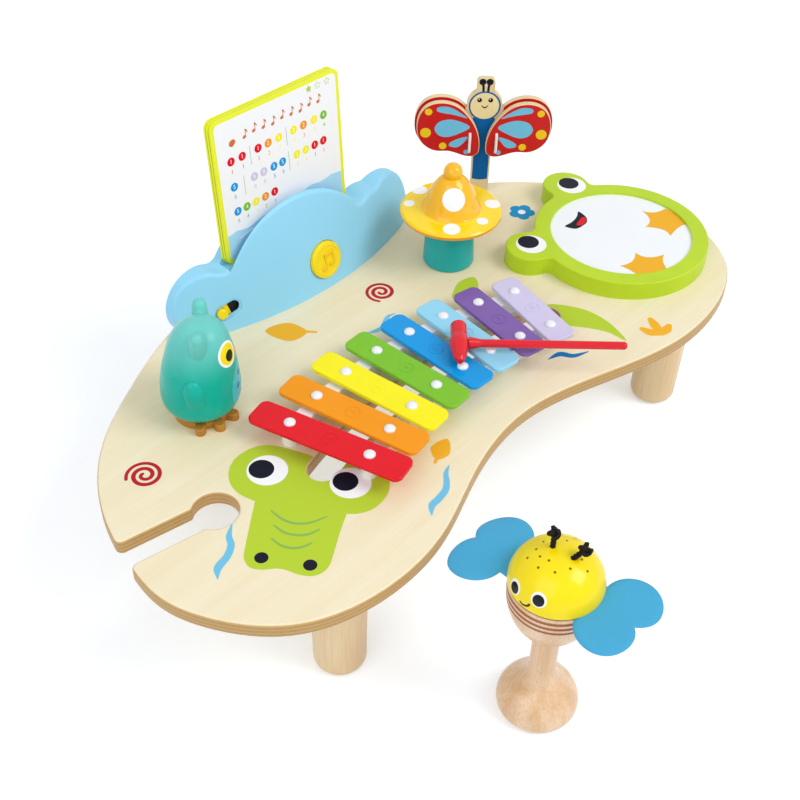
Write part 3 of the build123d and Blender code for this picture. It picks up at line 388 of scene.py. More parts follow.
@dataclass(frozen=True)
class Plywood:
    """Lacquered plywood: veneer on both faces and crossed plies at the edges."""

    pale: Colour = srgb(0.955, 0.915, 0.80)
    dark: Colour = srgb(0.93, 0.865, 0.71)
    # The edge and glue colours are the cross plies' own tones, deepened as painted shade to match
    # shaded slot walls.
    edge: Colour = srgb(0.80, 0.66, 0.42)
    glue: Colour = srgb(0.62, 0.42, 0.19)
    low: float = 108.0
    thick: float = 12.0
    plies: int = 7

    def material(self, name: str) -> Material:
        """Builds the finish.

        Args:
            name: the material's name.

        Returns:
            The material.
        """
        net = Net(name)
        face, pores = wood_tone(net, self.pale, self.dark, Grain.LENGTHWISE, 0.0, 0.55)
        cloud = net.noise((150.0, 60.0, 60.0), 2.0, 5.0)
        face = net.mix(cloud.step(0.35, 0.8) * 0.3, face, srgb(0.925, 0.85, 0.68))
        height = (net.axis(2) - self.low) / self.thick * self.plies
        wobble = net.noise((30.0, 30.0, 8.0), 1.0, 2.0) * 0.12
        layer = height + wobble
        phase = layer.math("FRACT", layer)
        line = phase.step(0.16, 0.05).most(phase.step(0.88, 0.98))
        odd = layer.math("MODULO", layer, 2.0).step(0.97, 1.03)
        cross = net.noise((0.7, 0.7, 0.7), 2.0, 9.0)
        run = net.noise((9.0, 9.0, 0.35), 3.0, 4.0)
        # Edge banding and glue lines, in colours partly deepened as painted shade.
        side = net.mix(run.step(0.35, 0.75) * 0.45, self.edge, shade(self.edge, 0.78))
        side = net.mix(odd * (cross.step(0.4, 0.7) * 0.35 + 0.25), side, self.glue)
        side = net.mix(line * 0.55, side, self.glue)
        flat = abs(net.axis(2, net.facing)).step(0.62, 0.9)
        colour = net.mix(flat, side, face)
        rough = net.noise(22.0, 2.0, 6.0) * 0.1 + 0.4
        relief = pores * flat + (cross * 0.6 + phase * 0.4) * (1 - flat) * 2.0
        return net.finish(colour, rough, net.bump(relief, 0.035), Specular_IOR_Level=0.3)


@dataclass(frozen=True)
class ClearWood:
    """Solid wood, sanded and lacquered clear."""

    pale: Colour = srgb(0.93, 0.83, 0.66)
    dark: Colour = srgb(0.86, 0.70, 0.50)
    grain: Grain = Grain.UPRIGHT
    seed: float = 0.0
    flecks: float = 0.0
    gloss: float = 0.42

    def material(self, name: str) -> Material:
        """Builds the finish.

        Args:
            name: the material's name.

        Returns:
            The material.
        """
        net = Net(name)
        colour, pores = wood_tone(net, self.pale, self.dark, self.grain, self.seed, 0.6)
        if self.flecks:
            ray = net.noise((0.5, 0.5, 2.6), 1.0, self.seed + 11.0)
            colour = net.mix(ray.step(0.66, 0.74) * self.flecks, colour, shade(self.dark, 0.62))
        end = abs(net.axis(2, net.facing)).step(0.93, 0.99)
        ring = (net.distance((0.0, 0.0, 0.0)) + net.noise(30.0, 2.0, self.seed) * 16.0).wave(3.1)
        colour = net.mix(end * ring * 0.4, colour, self.dark)
        rough = net.noise(16.0, 2.0, 2.2) * 0.12 + (self.gloss - 0.06)
        return net.finish(colour, rough, net.bump(pores, 0.03), Specular_IOR_Level=0.35)


@dataclass(frozen=True)
class PaintedWood:
    """Sprayed colour over wood: faint orange peel and a hint of the grain under it."""

    colour: Colour
    sheen: float = 0.34
    shine: float = 0.28

    def coat_over(self, net: Net, colour: Paint) -> Material:
        """Gives a net this paint's surface.

        Args:
            net: the material's net.
            colour: the colour, which may vary over the surface.

        Returns:
            The material.
        """
        drift = net.noise(26.0, 2.0, 8.0)
        colour = net.mix(drift.step(0.3, 0.8) * 0.10, colour, srgb(1.0, 1.0, 1.0), "OVERLAY")
        peel = net.noise(1.6, 2.0, 3.0)
        grain = net.noise((1.2, 1.2, 16.0), 3.0, 4.0)
        dust = net.noise(0.5, 1.0, 12.0).step(0.72, 0.8)
        rough = drift * 0.1 + dust * 0.15 + (self.sheen - 0.05)
        relief = peel * 0.7 + grain * 0.3
        return net.finish(colour, rough, net.bump(relief, 0.02), Specular_IOR_Level=self.shine)

    def material(self, name: str) -> Material:
        """Builds the finish in its one colour."""
        return self.coat_over(Net(name), self.colour)


@dataclass(frozen=True)
class Enamel:
    """Stoved gloss enamel on sheet metal."""

    colour: Colour

    def material(self, name: str) -> Material:
        """Builds the finish.

        Args:
            name: the material's name.

        Returns:
            The material.
        """
        net = Net(name)
        drift = net.noise(18.0, 2.0, 1.0)
        colour = net.mix(drift.step(0.3, 0.75) * 0.25, self.colour, shade(self.colour, 0.86))
        rough = net.noise(7.0, 3.0, 5.0) * 0.08 + 0.16
        peel = net.noise(2.4, 2.0, 2.0)
        return net.finish(colour, rough, net.bump(peel, 0.012), Specular_IOR_Level=0.24)


@dataclass(frozen=True)
class Metal:
    """Bare or plated metal with fine drawn marks."""

    colour: Colour = srgb(0.86, 0.87, 0.88)
    roughness: float = 0.25
    marks: float = 0.01

    def material(self, name: str) -> Material:
        """Builds the finish.

        Args:
            name: the material's name.

        Returns:
            The material.
        """
        net = Net(name)
        lines = net.noise((0.25, 0.25, 5.0), 2.0, 4.0)
        tarnish = net.noise(6.0, 3.0, 9.0)
        colour = net.mix(tarnish.step(0.45, 0.8) * 0.25, self.colour, shade(self.colour, 0.75))
        rough = lines * 0.1 + tarnish * 0.08 + (self.roughness - 0.08)
        return net.finish(colour, rough, net.bump(lines, self.marks), Metallic=1.0)


@dataclass(frozen=True)
class Plastic:
    """Moulded plastic, from softly textured to glossy."""

    colour: Colour
    roughness: float = 0.45
    texture: float = 0.02
    grain: float = 0.6
    shine: float = 0.3

    def material(self, name: str) -> Material:
        """Builds the finish.

        Args:
            name: the material's name.

        Returns:
            The material.
        """
        net = Net(name)
        drift = net.noise(40.0, 2.0, 2.0)
        colour = net.mix(drift.step(0.3, 0.8) * 0.12, self.colour, shade(self.colour, 0.88))
        spark = net.noise(self.grain, 2.0, 7.0)
        scuff = net.noise((14.0, 3.0, 5.0), 3.0, 1.0).step(0.62, 0.8)
        rough = spark * 0.08 + scuff * 0.07 + (self.roughness - 0.05)
        return net.finish(colour, rough, net.bump(spark, self.texture),
                          Specular_IOR_Level=self.shine)


@dataclass(frozen=True)
class Ink:
    """Screen-printed ink, thin enough to follow the surface under it."""

    colour: Colour
    roughness: float = 0.42
    grain: float = 1.0

    def material(self, name: str) -> Material:
        """Builds the finish.

        Args:
            name: the material's name.

        Returns:
            The material.
        """
        net = Net(name)
        streak = net.noise((40.0, 1.2, 1.2), 3.0, 7.7)
        speck = net.noise(0.45, 1.0, 3.0)
        worn = streak.step(0.45, 0.8) * 0.10 * self.grain
        colour = net.mix(worn, self.colour, shade(self.colour, 0.85))
        colour = net.mix(speck.step(0.7, 0.8) * 0.06, colour, srgb(1.0, 1.0, 1.0))
        rough = speck * 0.1 + (self.roughness - 0.05)
        return net.finish(colour, rough, net.bump(streak * 0.5 + speck * 0.5, 0.012 * self.grain),
                          Specular_IOR_Level=0.12)


@dataclass(frozen=True)
class Felt:
    """Pressed wool felt: matted fibres, soft sheen."""

    colour: Colour

    def material(self, name: str) -> Material:
        """Builds the finish.

        Args:
            name: the material's name.

        Returns:
            The material.
        """
        net = Net(name)
        warp = net.noise(3.0, 2.0, 5.0)
        fibres = net.noise((0.9, 0.18, 0.4), 3.0, 2.0, 35.0)
        cross = net.noise((0.18, 0.9, 0.4), 3.0, 6.0, 20.0)
        mat = fibres.most(cross)
        colour = net.mix(mat.step(0.4, 0.7) * 0.4, shade(self.colour, 0.72), self.colour)
        colour = net.mix(mat.step(0.66, 0.78) * 0.35, colour, srgb(0.75, 0.90, 0.97))
        colour = net.mix(warp.step(0.35, 0.75) * 0.18, colour, shade(self.colour, 0.8))
        rough = mat * 0.1 + 0.85
        return net.finish(colour, rough, net.bump(mat * 0.7 + warp * 0.3, 0.22),
                          Sheen_Weight=0.12, Sheen_Roughness=0.5, Specular_IOR_Level=0.1)


@dataclass(frozen=True)
class Yarn:
    """Spun thread of a cord or elastic."""

    colour: Colour
    roughness: float = 0.8
    depth: float = 0.65

    def material(self, name: str) -> Material:
        """Builds the finish.

        Args:
            name: the material's name.

        Returns:
            The material.
        """
        net = Net(name)
        fibre = net.noise((0.12, 0.12, 0.5), 2.0, 3.0, 25.0)
        colour = net.mix(fibre.step(0.35, 0.7) * 0.6, shade(self.colour, self.depth), self.colour)
        return net.finish(colour, fibre * 0.15 + (self.roughness - 0.08), net.bump(fibre, 0.08),
                          Specular_IOR_Level=0.2)


@dataclass(frozen=True)
class CoatedSkin:
    """Matt coated drum skin with a faint fibre."""

    pale: Colour = srgb(0.955, 0.97, 0.985)
    cloudy: Colour = srgb(0.93, 0.95, 0.97)

    def material(self, name: str) -> Material:
        """Builds the finish.

        Args:
            name: the material's name.

        Returns:
            The material.
        """
        net = Net(name)
        fibre = net.noise(0.9, 3.0, 2.0)
        cloud = net.noise(35.0, 2.0, 4.0)
        colour = net.mix(cloud.step(0.3, 0.8) * 0.3, self.pale, self.cloudy)
        return net.finish(colour, fibre * 0.12 + 0.38, net.bump(fibre, 0.02))


# ---- Outlines and frames ----

def around(turn: float, reach: float = 1.0, x: float = 0.0, y: float = 0.0) -> Point:
    """The point at a bearing in degrees and a distance from another."""
    a = math.radians(turn)
    return x + reach * math.cos(a), y + reach * math.sin(a)


@dataclass(frozen=True)
class Place:
    """A flat frame of a piece: an origin in drawing millimetres and three unit directions."""

    origin: Vector
    across: Vector
    up: Vector
    out: Vector

    @staticmethod
    def level(x: float, y: float, z: float, turn: float = 0.0) -> "Place":
        """A level frame at a drawn point, turned about Z by degrees."""
        return Place(Vector((x, y, z)), Vector((*around(turn), 0)),
                     Vector((*around(turn + 90.0), 0)), Vector((0, 0, 1)))

    def at(self, u: float, v: float, w: float = 0.0) -> Vector:
        """A point of the frame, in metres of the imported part."""
        point = self.origin + self.across * u + self.up * v + self.out * w
        return (point + SHIFT) * MM

    def spot(self, u: float, v: float, w: float = 0.0) -> Vector:
        """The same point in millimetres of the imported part, as materials measure it."""
        return self.at(u, v, w) / MM


def neighbours(line: list) -> Iterable[tuple]:
    """Each point of a closed line between the ones before and after it."""
    return zip(line[-1:] + line[:-1], line, line[1:] + line[:1])


def bow(a: Vector, b: Vector, c: Vector, d: Vector, t: float) -> Vector:
    """The point at a share t of the smooth run from b to c, whose neighbours are a and d."""
    return 0.5 * (2 * b + (c - a) * t + (2 * a - 5 * b + 4 * c - d) * t ** 2
                  + (3 * b - a - 3 * c + d) * t ** 3)


def smooth_loop(points: Sequence[Point], steps: int = 8) -> Outline:
    """A closed smooth line through points.

    Args:
        points: the corners, in order.
        steps: points made for each.

    Returns:
        The closed outline.
    """
    line = []
    for k in range(len(points)):
        near = [Vector(points[(k + i) % len(points)]) for i in (-1, 0, 1, 2)]
        line += [tuple(bow(*near, step / steps)) for step in range(steps)]
    return line


def smooth_line(points: Sequence[Sequence[float]], steps: int = 10) -> list[Vector]:
    """An open smooth line through points of any size.

    Args:
        points: the points, in order.
        steps: points made for each run.

    Returns:
        The line.
    """
    vectors = [Vector(p) for p in points]
    ends = [2 * vectors[0] - vectors[1], *vectors, 2 * vectors[-1] - vectors[-2]]
    line = [bow(*ends[k:k + 4], step / steps)
            for k in range(len(points) - 1) for step in range(steps)]
    return [*line, vectors[-1]]


def disc(x: float, y: float, radius: float, count: int = 48, flat: float = 1.0,
         turn: float = 0.0) -> Outline:
    """A circle, or an oval.

    Args:
        x, y: its centre.
        radius: half its longest width.
        count: its corners.
        flat: its other width, as a share of the longest.
        turn: degrees that it is turned by.

    Returns:
        The outline.
    """
    c, s = around(turn)
    line = []
    for k in range(count):
        u, v = around(360.0 * k / count, radius)
        v *= flat
        line.append((x + u * c - v * s, y + u * s + v * c))
    return line


def stroke(points: Sequence[Point], widths: Sequence[float], steps: int = 10) -> Outline:
    """A brush line with a width at each point and round ends.

    Args:
        points: the line's points.
        widths: the width at each of them.
        steps: points made for each run.

    Returns:
        The outline around the line.
    """
    line = smooth_line([(*p, w / 2) for p, w in zip(points, widths)], steps)
    left, right = [], []
    for k, p in enumerate(line):
        along = (line[min(k + 1, len(line) - 1)] - line[max(k - 1, 0)]).xy.normalized()
        side = along.orthogonal() * max(p.z, THINNEST)
        left.append(tuple(p.xy + side))
        right.append(tuple(p.xy - side))

    def cap(end: Vector, inner: Vector) -> Outline:
        """The round end.

        Args:
            end: the line's last point on this side.
            inner: the point next to it.

        Returns:
            The points of its arc.
        """
        away = (end - inner).xy.normalized()
        turns = [math.pi * step / 6 for step in range(1, 6)]
        return [tuple(end.xy + (away * math.sin(t) + away.orthogonal() * math.cos(t))
                      * max(end.z, THINNEST)) for t in turns]

    return left + cap(line[-1], line[-2]) + right[::-1] + cap(line[0], line[1])


def rounded_box(low: Point, high: Point, radius: float, steps: int) -> Outline:
    """A rectangle with round corners.

    Args:
        low, high: its opposite corners.
        radius: how round its corners are.
        steps: runs of each corner's arc.

    Returns:
        The outline, from the corner at high and low.
    """
    left, bottom, right, top = (*(a + radius for a in low), *(a - radius for a in high))
    corners = ((right, bottom, -90), (right, top, 0), (left, top, 90), (left, bottom, 180))
    return [around(start + 90 * k / steps, radius, u, v)
            for u, v, start in corners for k in range(steps + 1)]


def signed_area(outline: Outline) -> float:
    """The area, positive for an outline that runs anticlockwise."""
    pairs = zip(outline, outline[1:] + outline[:1])
    return sum(ax * by - bx * ay for (ax, ay), (bx, by) in pairs) / 2


# ---- Mesh helpers ----

def skin(rings: int, count: int, closed: bool = False) -> list[tuple[int, ...]]:
    """Faces over rings of points that follow each other.

    Args:
        rings: how many rings there are.
        count: the points on each.
        closed: joins the last ring to the first, in place of a face at each end.

    Returns:
        The faces.
    """
    faces = []
    for ring in range(rings if closed else rings - 1):
        a, b = ring * count, (ring + 1) % rings * count
        faces += [(a + k, a + (k + 1) % count, b + (k + 1) % count, b + k) for k in range(count)]
    if not closed:
        faces += [tuple(range(count))[::-1], tuple(range((rings - 1) * count, rings * count))]
    return faces


def stand(name: str, data: bpy.types.ID) -> bpy.types.Object:
    """Makes an object and links it to the scene.

    Args:
        name: its name.
        data: its mesh, curve, lamp or camera.

    Returns:
        The object.
    """
    made = bpy.data.objects.new(name, data)
    bpy.context.scene.collection.objects.link(made)
    return made


class Shell:
    """Gathers closed bodies for one piece, each with its own finish."""

    def __init__(self) -> None:
        """Starts empty."""
        self.points: list[Vector] = []
        self.faces: list[tuple[int, ...]] = []
        self.finishes: list[int] = []

    def add(self, points: Iterable[Vector], faces: Iterable[Sequence[int]],
            finish: int = 0) -> None:
        """Adds a body.

        Args:
            points: its points, in metres.
            faces: its faces, which count from the first of them.
            finish: which finish it wears.
        """
        start = len(self.points)
        self.points.extend(points)
        for face in faces:
            self.faces.append(tuple(start + k for k in face))
            self.finishes.append(finish)

    def plate(self, place: Place, outline: Outline, low: float, high: float, finish: int = 0,
              bevel: float = 0.0) -> None:
        """Adds a flat plate.

        Args:
            place: the frame that the outline lies in.
            outline: its line, in millimetres.
            low, high: its lower and upper face along the frame's out.
            finish: which finish it wears.
            bevel: how far its upper edge is broken.
        """
        line = outline if signed_area(outline) > 0 else outline[::-1]
        rings = [(0.0, low), (0.0, high - bevel)]
        if bevel:
            rings += [(bevel * 0.3, high - bevel * 0.3), (bevel, high)]
        points = []
        for inset, w in rings:
            for (au, av), (u, v), (bu, bv) in neighbours(line):
                away = Vector((bv - av, au - bu)).normalized() * inset
                points.append(place.at(u - away.x, v - away.y, w))
        self.add(points, skin(len(rings), len(line)), finish)

    def ink(self, place: Place, outline: Outline, finish: int = 0, layer: float = 0.0,
            thick: float = 1.0) -> None:
        """Adds one printed layer.

        Args:
            place: the frame that the outline lies in.
            outline: its line, in millimetres.
            finish: which ink it is.
            layer: how many films lie under it.
            thick: its own thickness, in films.
        """
        self.plate(place, outline, layer * PRINT_FILM, (layer + thick) * PRINT_FILM, finish)

    def tube(self, line: Sequence[Vector], radius: Union[float, Sequence[float]],
             sides: int = 8, closed: bool = False) -> None:
        """Adds a round tube along points in metres.

        Args:
            line: its middle line.
            radius: one radius, or one for each point, in metres.
            sides: corners of its section.
            closed: joins its end to its start.
        """
        count = len(line)
        radii = [radius] * count if isinstance(radius, float) else radius
        ahead = [*line[1:], line[0] if closed else line[-1]]
        behind = [line[-1] if closed else line[0], *line[:-1]]
        ways = [(a - b).normalized() for a, b in zip(ahead, behind)]
        side = ways[0].orthogonal().normalized()
        walls = []
        for way in ways:
            side = (side - way * side.dot(way)).normalized()
            walls.append(side.copy())
        twist = 0.0
        if closed:
            back = (walls[-1] - ways[0] * walls[-1].dot(ways[0])).normalized()
            twist = math.atan2(back.cross(walls[0]).dot(ways[0]), back.dot(walls[0]))
        points = []
        for k, (p, way) in enumerate(zip(line, ways)):
            turned = Matrix.Rotation(twist * k / count, 3, way) @ walls[k]
            other = way.cross(turned)
            for j in range(sides):
                c, s = around(360.0 * j / sides, radii[k])
                points.append(p + turned * c + other * s)
        self.add(points, skin(count, sides, closed))

    def figure(self, place: Place, text: str, size: float, low: float, high: float,
               u: float = 0.0, v: float = 0.0, finish: int = 0) -> None:
        """Adds a figure of the built-in font.

        Args:
            place: the frame that it lies in.
            text: the figure.
            size: its height of line, in millimetres.
            low, high: its lower and upper face along the frame's out.
            u, v: its middle.
            finish: which finish it wears.
        """
        curve = bpy.data.curves.new("figure", "FONT")
        curve.body, curve.size, curve.resolution_u = text, size, 3
        curve.align_x = curve.align_y = "CENTER"
        holder = stand("figure", curve)
        bpy.context.view_layer.update()
        flat = bpy.data.meshes.new_from_object(holder)
        solid = bmesh.new()
        solid.from_mesh(flat)
        bmesh.ops.remove_doubles(solid, verts=solid.verts, dist=size * 0.002)
        for item in bmesh.ops.extrude_face_region(solid, geom=solid.faces[:])["geom"]:
            if isinstance(item, bmesh.types.BMVert):
                item.co.z = 1.0
        bmesh.ops.recalc_face_normals(solid, faces=solid.faces[:])
        solid.verts.index_update()
        points = [place.at(u + p.co.x, v + p.co.y, high if p.co.z > 0.5 else low)
                  for p in solid.verts]
        self.add(points, [[p.index for p in face.verts] for face in solid.faces], finish)
        solid.free()
        bpy.data.objects.remove(holder)
        bpy.data.meshes.remove(flat)
        bpy.data.curves.remove(curve)

    def piece(self, name: str, body: str, slot: str, materials: Sequence[Material],
              sharp: float = 35.0) -> bpy.types.Object:
        """Makes the object.

        Args:
            name: the piece's name.
            body: the body that it rides on.
            slot: not used.
            materials: its finishes, in the order that the bodies name them.
            sharp: edges steeper than this many degrees stay crisp.

        Returns:
            The object, riding on its body.
        """
        mesh = bpy.data.meshes.new(name)
        mesh.from_pydata([tuple(p) for p in self.points], [], self.faces)
        for material in materials:
            mesh.materials.append(material)
        mesh.polygons.foreach_set("material_index", self.finishes)
        mesh.polygons.foreach_set("use_smooth", [True] * len(mesh.polygons))
        mesh.validate()
        mesh.set_sharp_from_angle(angle=math.radians(sharp))
        made = stand(name, mesh)
        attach(made, body)
        log.info("%s: %d faces on %s", name, len(mesh.polygons), body)
        return made


def dress(material: Material, *nodes: str) -> None:
    """Gives carried-over nodes a finish.

    Args:
        material: the finish.
        nodes: the nodes' names.
    """
    for node in nodes:
        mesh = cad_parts[node].data
        mesh.materials.clear()
        mesh.materials.append(material)
        log.info("%s wears %s", node, material.name)


# ---- Studio ----

@dataclass
class Studio:
    """Pale floor, soft lamps and the camera."""

    eye: tuple = (-530.004, -474.997, 720.0)
    heading: Point = (0.731, 0.682)
    pitch: float = 42.634
    roll: float = -1.528
    lens: float = 53.96
    sensor: float = 36.0
    floor_size: float = 10.0
    floor_drop: float = 0.0004
    sky: float = 0.63
    key: float = 0.42
    key_place: tuple = (1.05, -2.17, 2.69)
    key_size: float = 1.7
    fill: float = 0.27
    fill_place: tuple = (-1.7, -0.3, 1.4)
    fill_size: float = 1.6
    aim: tuple = (0.0, 0.0, 0.1)
    floor_lift: float = 0.31
    far_lift: float = 0.62
    shadow_reach: tuple = (620.0, 1500.0)

    def camera(self) -> None:
        """Sets up the camera."""
        data = bpy.data.cameras.new("camera")
        data.lens, data.sensor_width = self.lens, self.sensor
        data.clip_start, data.clip_end = 0.05, 30.0
        made = stand("camera", data)
        turn = math.atan2(-self.heading[0], self.heading[1])
        made.matrix_world = (Matrix.Translation((Vector(self.eye) + SHIFT) * MM)
                             @ Matrix.Rotation(turn, 4, "Z")
                             @ Matrix.Rotation(math.radians(90.0 - self.pitch), 4, "X")
                             @ Matrix.Rotation(math.radians(-self.roll), 4, "Z"))
        bpy.context.scene.camera = made

    def lamp(self, name: str, place: Vector, size: float, level: float, tint: Colour) -> None:
        """Adds a square lamp aimed at the table.

        Args:
            name: its name.
            place: where it hangs, in metres.
            size: its side, in metres.
            level: how near to white it alone lights the table.
            tint: its colour.
        """
        ahead = Vector(self.aim) - place
        data = bpy.data.lights.new(name, "AREA")
        data.shape, data.size, data.color = "SQUARE", size, tint[:3]
        data.energy = level * (math.pi * ahead.length) ** 2
        made = stand(name, data)
        made.location = place
        made.rotation_mode = "QUATERNION"
        made.rotation_quaternion = ahead.to_track_quat("-Z", "Y")

    @staticmethod
    def seen_white(net: Net, *rays: str) -> Value:
        """A mask of what has to look white.

        Args:
            net: the material or world.
            rays: the kinds of ray that see white.

        Returns:
            1 for those rays, else 0.
        """
        path = net.node("ShaderNodeLightPath")
        first, *others = (Value(net, path.outputs[f"Is {ray} Ray"]) for ray in rays)
        for other in others:
            first = first.most(other)
        return first

    def world(self) -> None:
        """Fills the room with even light and a white surround."""
        net = Net("room", "worlds")
        bpy.context.scene.world = net.owner
        seen = self.seen_white(net, "Camera", "Glossy")
        room, white = (net.node("ShaderNodeBackground", None, {0: colour, 1: level}).outputs[0]
                       for colour, level in (((0.97, 0.985, 1.0, 1.0), self.sky), (PURE, 1.0)))
        mixed = net.node("ShaderNodeMixShader", None, {0: seen, 1: room, 2: white})
        net.node("ShaderNodeOutputWorld", None, {0: mixed.outputs[0]})

    def floor(self) -> None:
        """Lays the white floor, which keeps the object's shadow."""
        net = Net("studio_floor")
        mottle = net.noise(300.0, 1.0)
        colour = net.mix(mottle * 0.2, (0.855, 0.885, 0.94, 1.0), (0.84, 0.87, 0.925, 1.0))
        away = net.distance((0.0, 0.0, 0.0)).step(*self.shadow_reach)
        lift = away * (self.far_lift - self.floor_lift) + self.floor_lift
        lift = self.seen_white(net, "Camera", "Glossy", "Transmission") * lift
        lit = net.node("ShaderNodeBsdfDiffuse", None, {"Color": colour})
        glow = net.mix(lift, (0.0, 0.0, 0.0, 1.0), PURE)
        glow = net.node("ShaderNodeEmission", None, {"Color": glow})
        both = net.node("ShaderNodeAddShader", None, {0: lit.outputs[0], 1: glow.outputs[0]})
        net.node("ShaderNodeOutputMaterial", None, {"Surface": both.outputs[0]})
        half = self.floor_size / 2
        mesh = bpy.data.meshes.new("studio_floor")
        corners = [(-half, -half, 0), (half, -half, 0), (half, half, 0), (-half, half, 0)]
        mesh.from_pydata(corners, [], [(0, 1, 2, 3)])
        mesh.materials.append(net.owner)
        made = stand("studio_floor", mesh)
        made.location.z = -self.floor_drop

    def build(self) -> None:
        """Sets up the whole studio."""
        self.camera()
        self.world()
        self.floor()
        warm, cool = (1.0, 0.995, 0.985, 1.0), (0.98, 0.99, 1.0, 1.0)
        self.lamp("key", Vector(self.key_place), self.key_size, self.key, warm)
        self.lamp("fill", Vector(self.fill_place), self.fill_size, self.fill, cool)
        bpy.context.scene.view_settings.view_transform = "Standard"


# ---- Inks ----

class Tint(Enum):
    """Printed and painted colours."""

    WHITE = srgb(0.975, 0.98, 0.99)
    NAVY = srgb(0.075, 0.09, 0.15)
    CRIMSON = srgb(0.72, 0.12, 0.20)
    GOLD = srgb(0.95, 0.70, 0.17)
    HONEY = srgb(0.96, 0.80, 0.14)
    WATER = srgb(0.45, 0.76, 0.90)
    DEEP = srgb(0.03, 0.46, 0.72)
    PETAL = srgb(0.07, 0.57, 0.80)
    REED = srgb(0.72, 0.82, 0.22)
    MOSS = srgb(0.55, 0.72, 0.35)
    SKY = srgb(0.68, 0.87, 0.96)
    GREY = srgb(0.66, 0.68, 0.72)
    RED = srgb(0.90, 0.10, 0.14)
    SUN = srgb(0.97, 0.88, 0.12)
    PUPIL = srgb(0.015, 0.018, 0.03)


SCALE = {
    "red": srgb(0.90, 0.03, 0.12), "orange": srgb(0.965, 0.60, 0.01),
    "yellow": srgb(0.985, 0.94, 0.08), "green": srgb(0.49, 0.76, 0.16),
    "blue": srgb(0.0, 0.60, 0.89), "sky": srgb(0.58, 0.84, 0.95),
    "purple": srgb(0.50, 0.37, 0.67), "lilac": srgb(0.82, 0.79, 0.91),
}
SIDES = {-1: "left", 1: "right"}


def inks(*tints: Tint) -> list[Material]:
    """The ink materials of some tints, each made once.

    Args:
        tints: the tints.

    Returns:
        A material for each.
    """
    made = []
    for tint in tints:
        name = "ink_" + tint.name.lower()
        made.append(bpy.data.materials.get(name) or Ink(tint.value).material(name))
    return made


# ---- Table ----

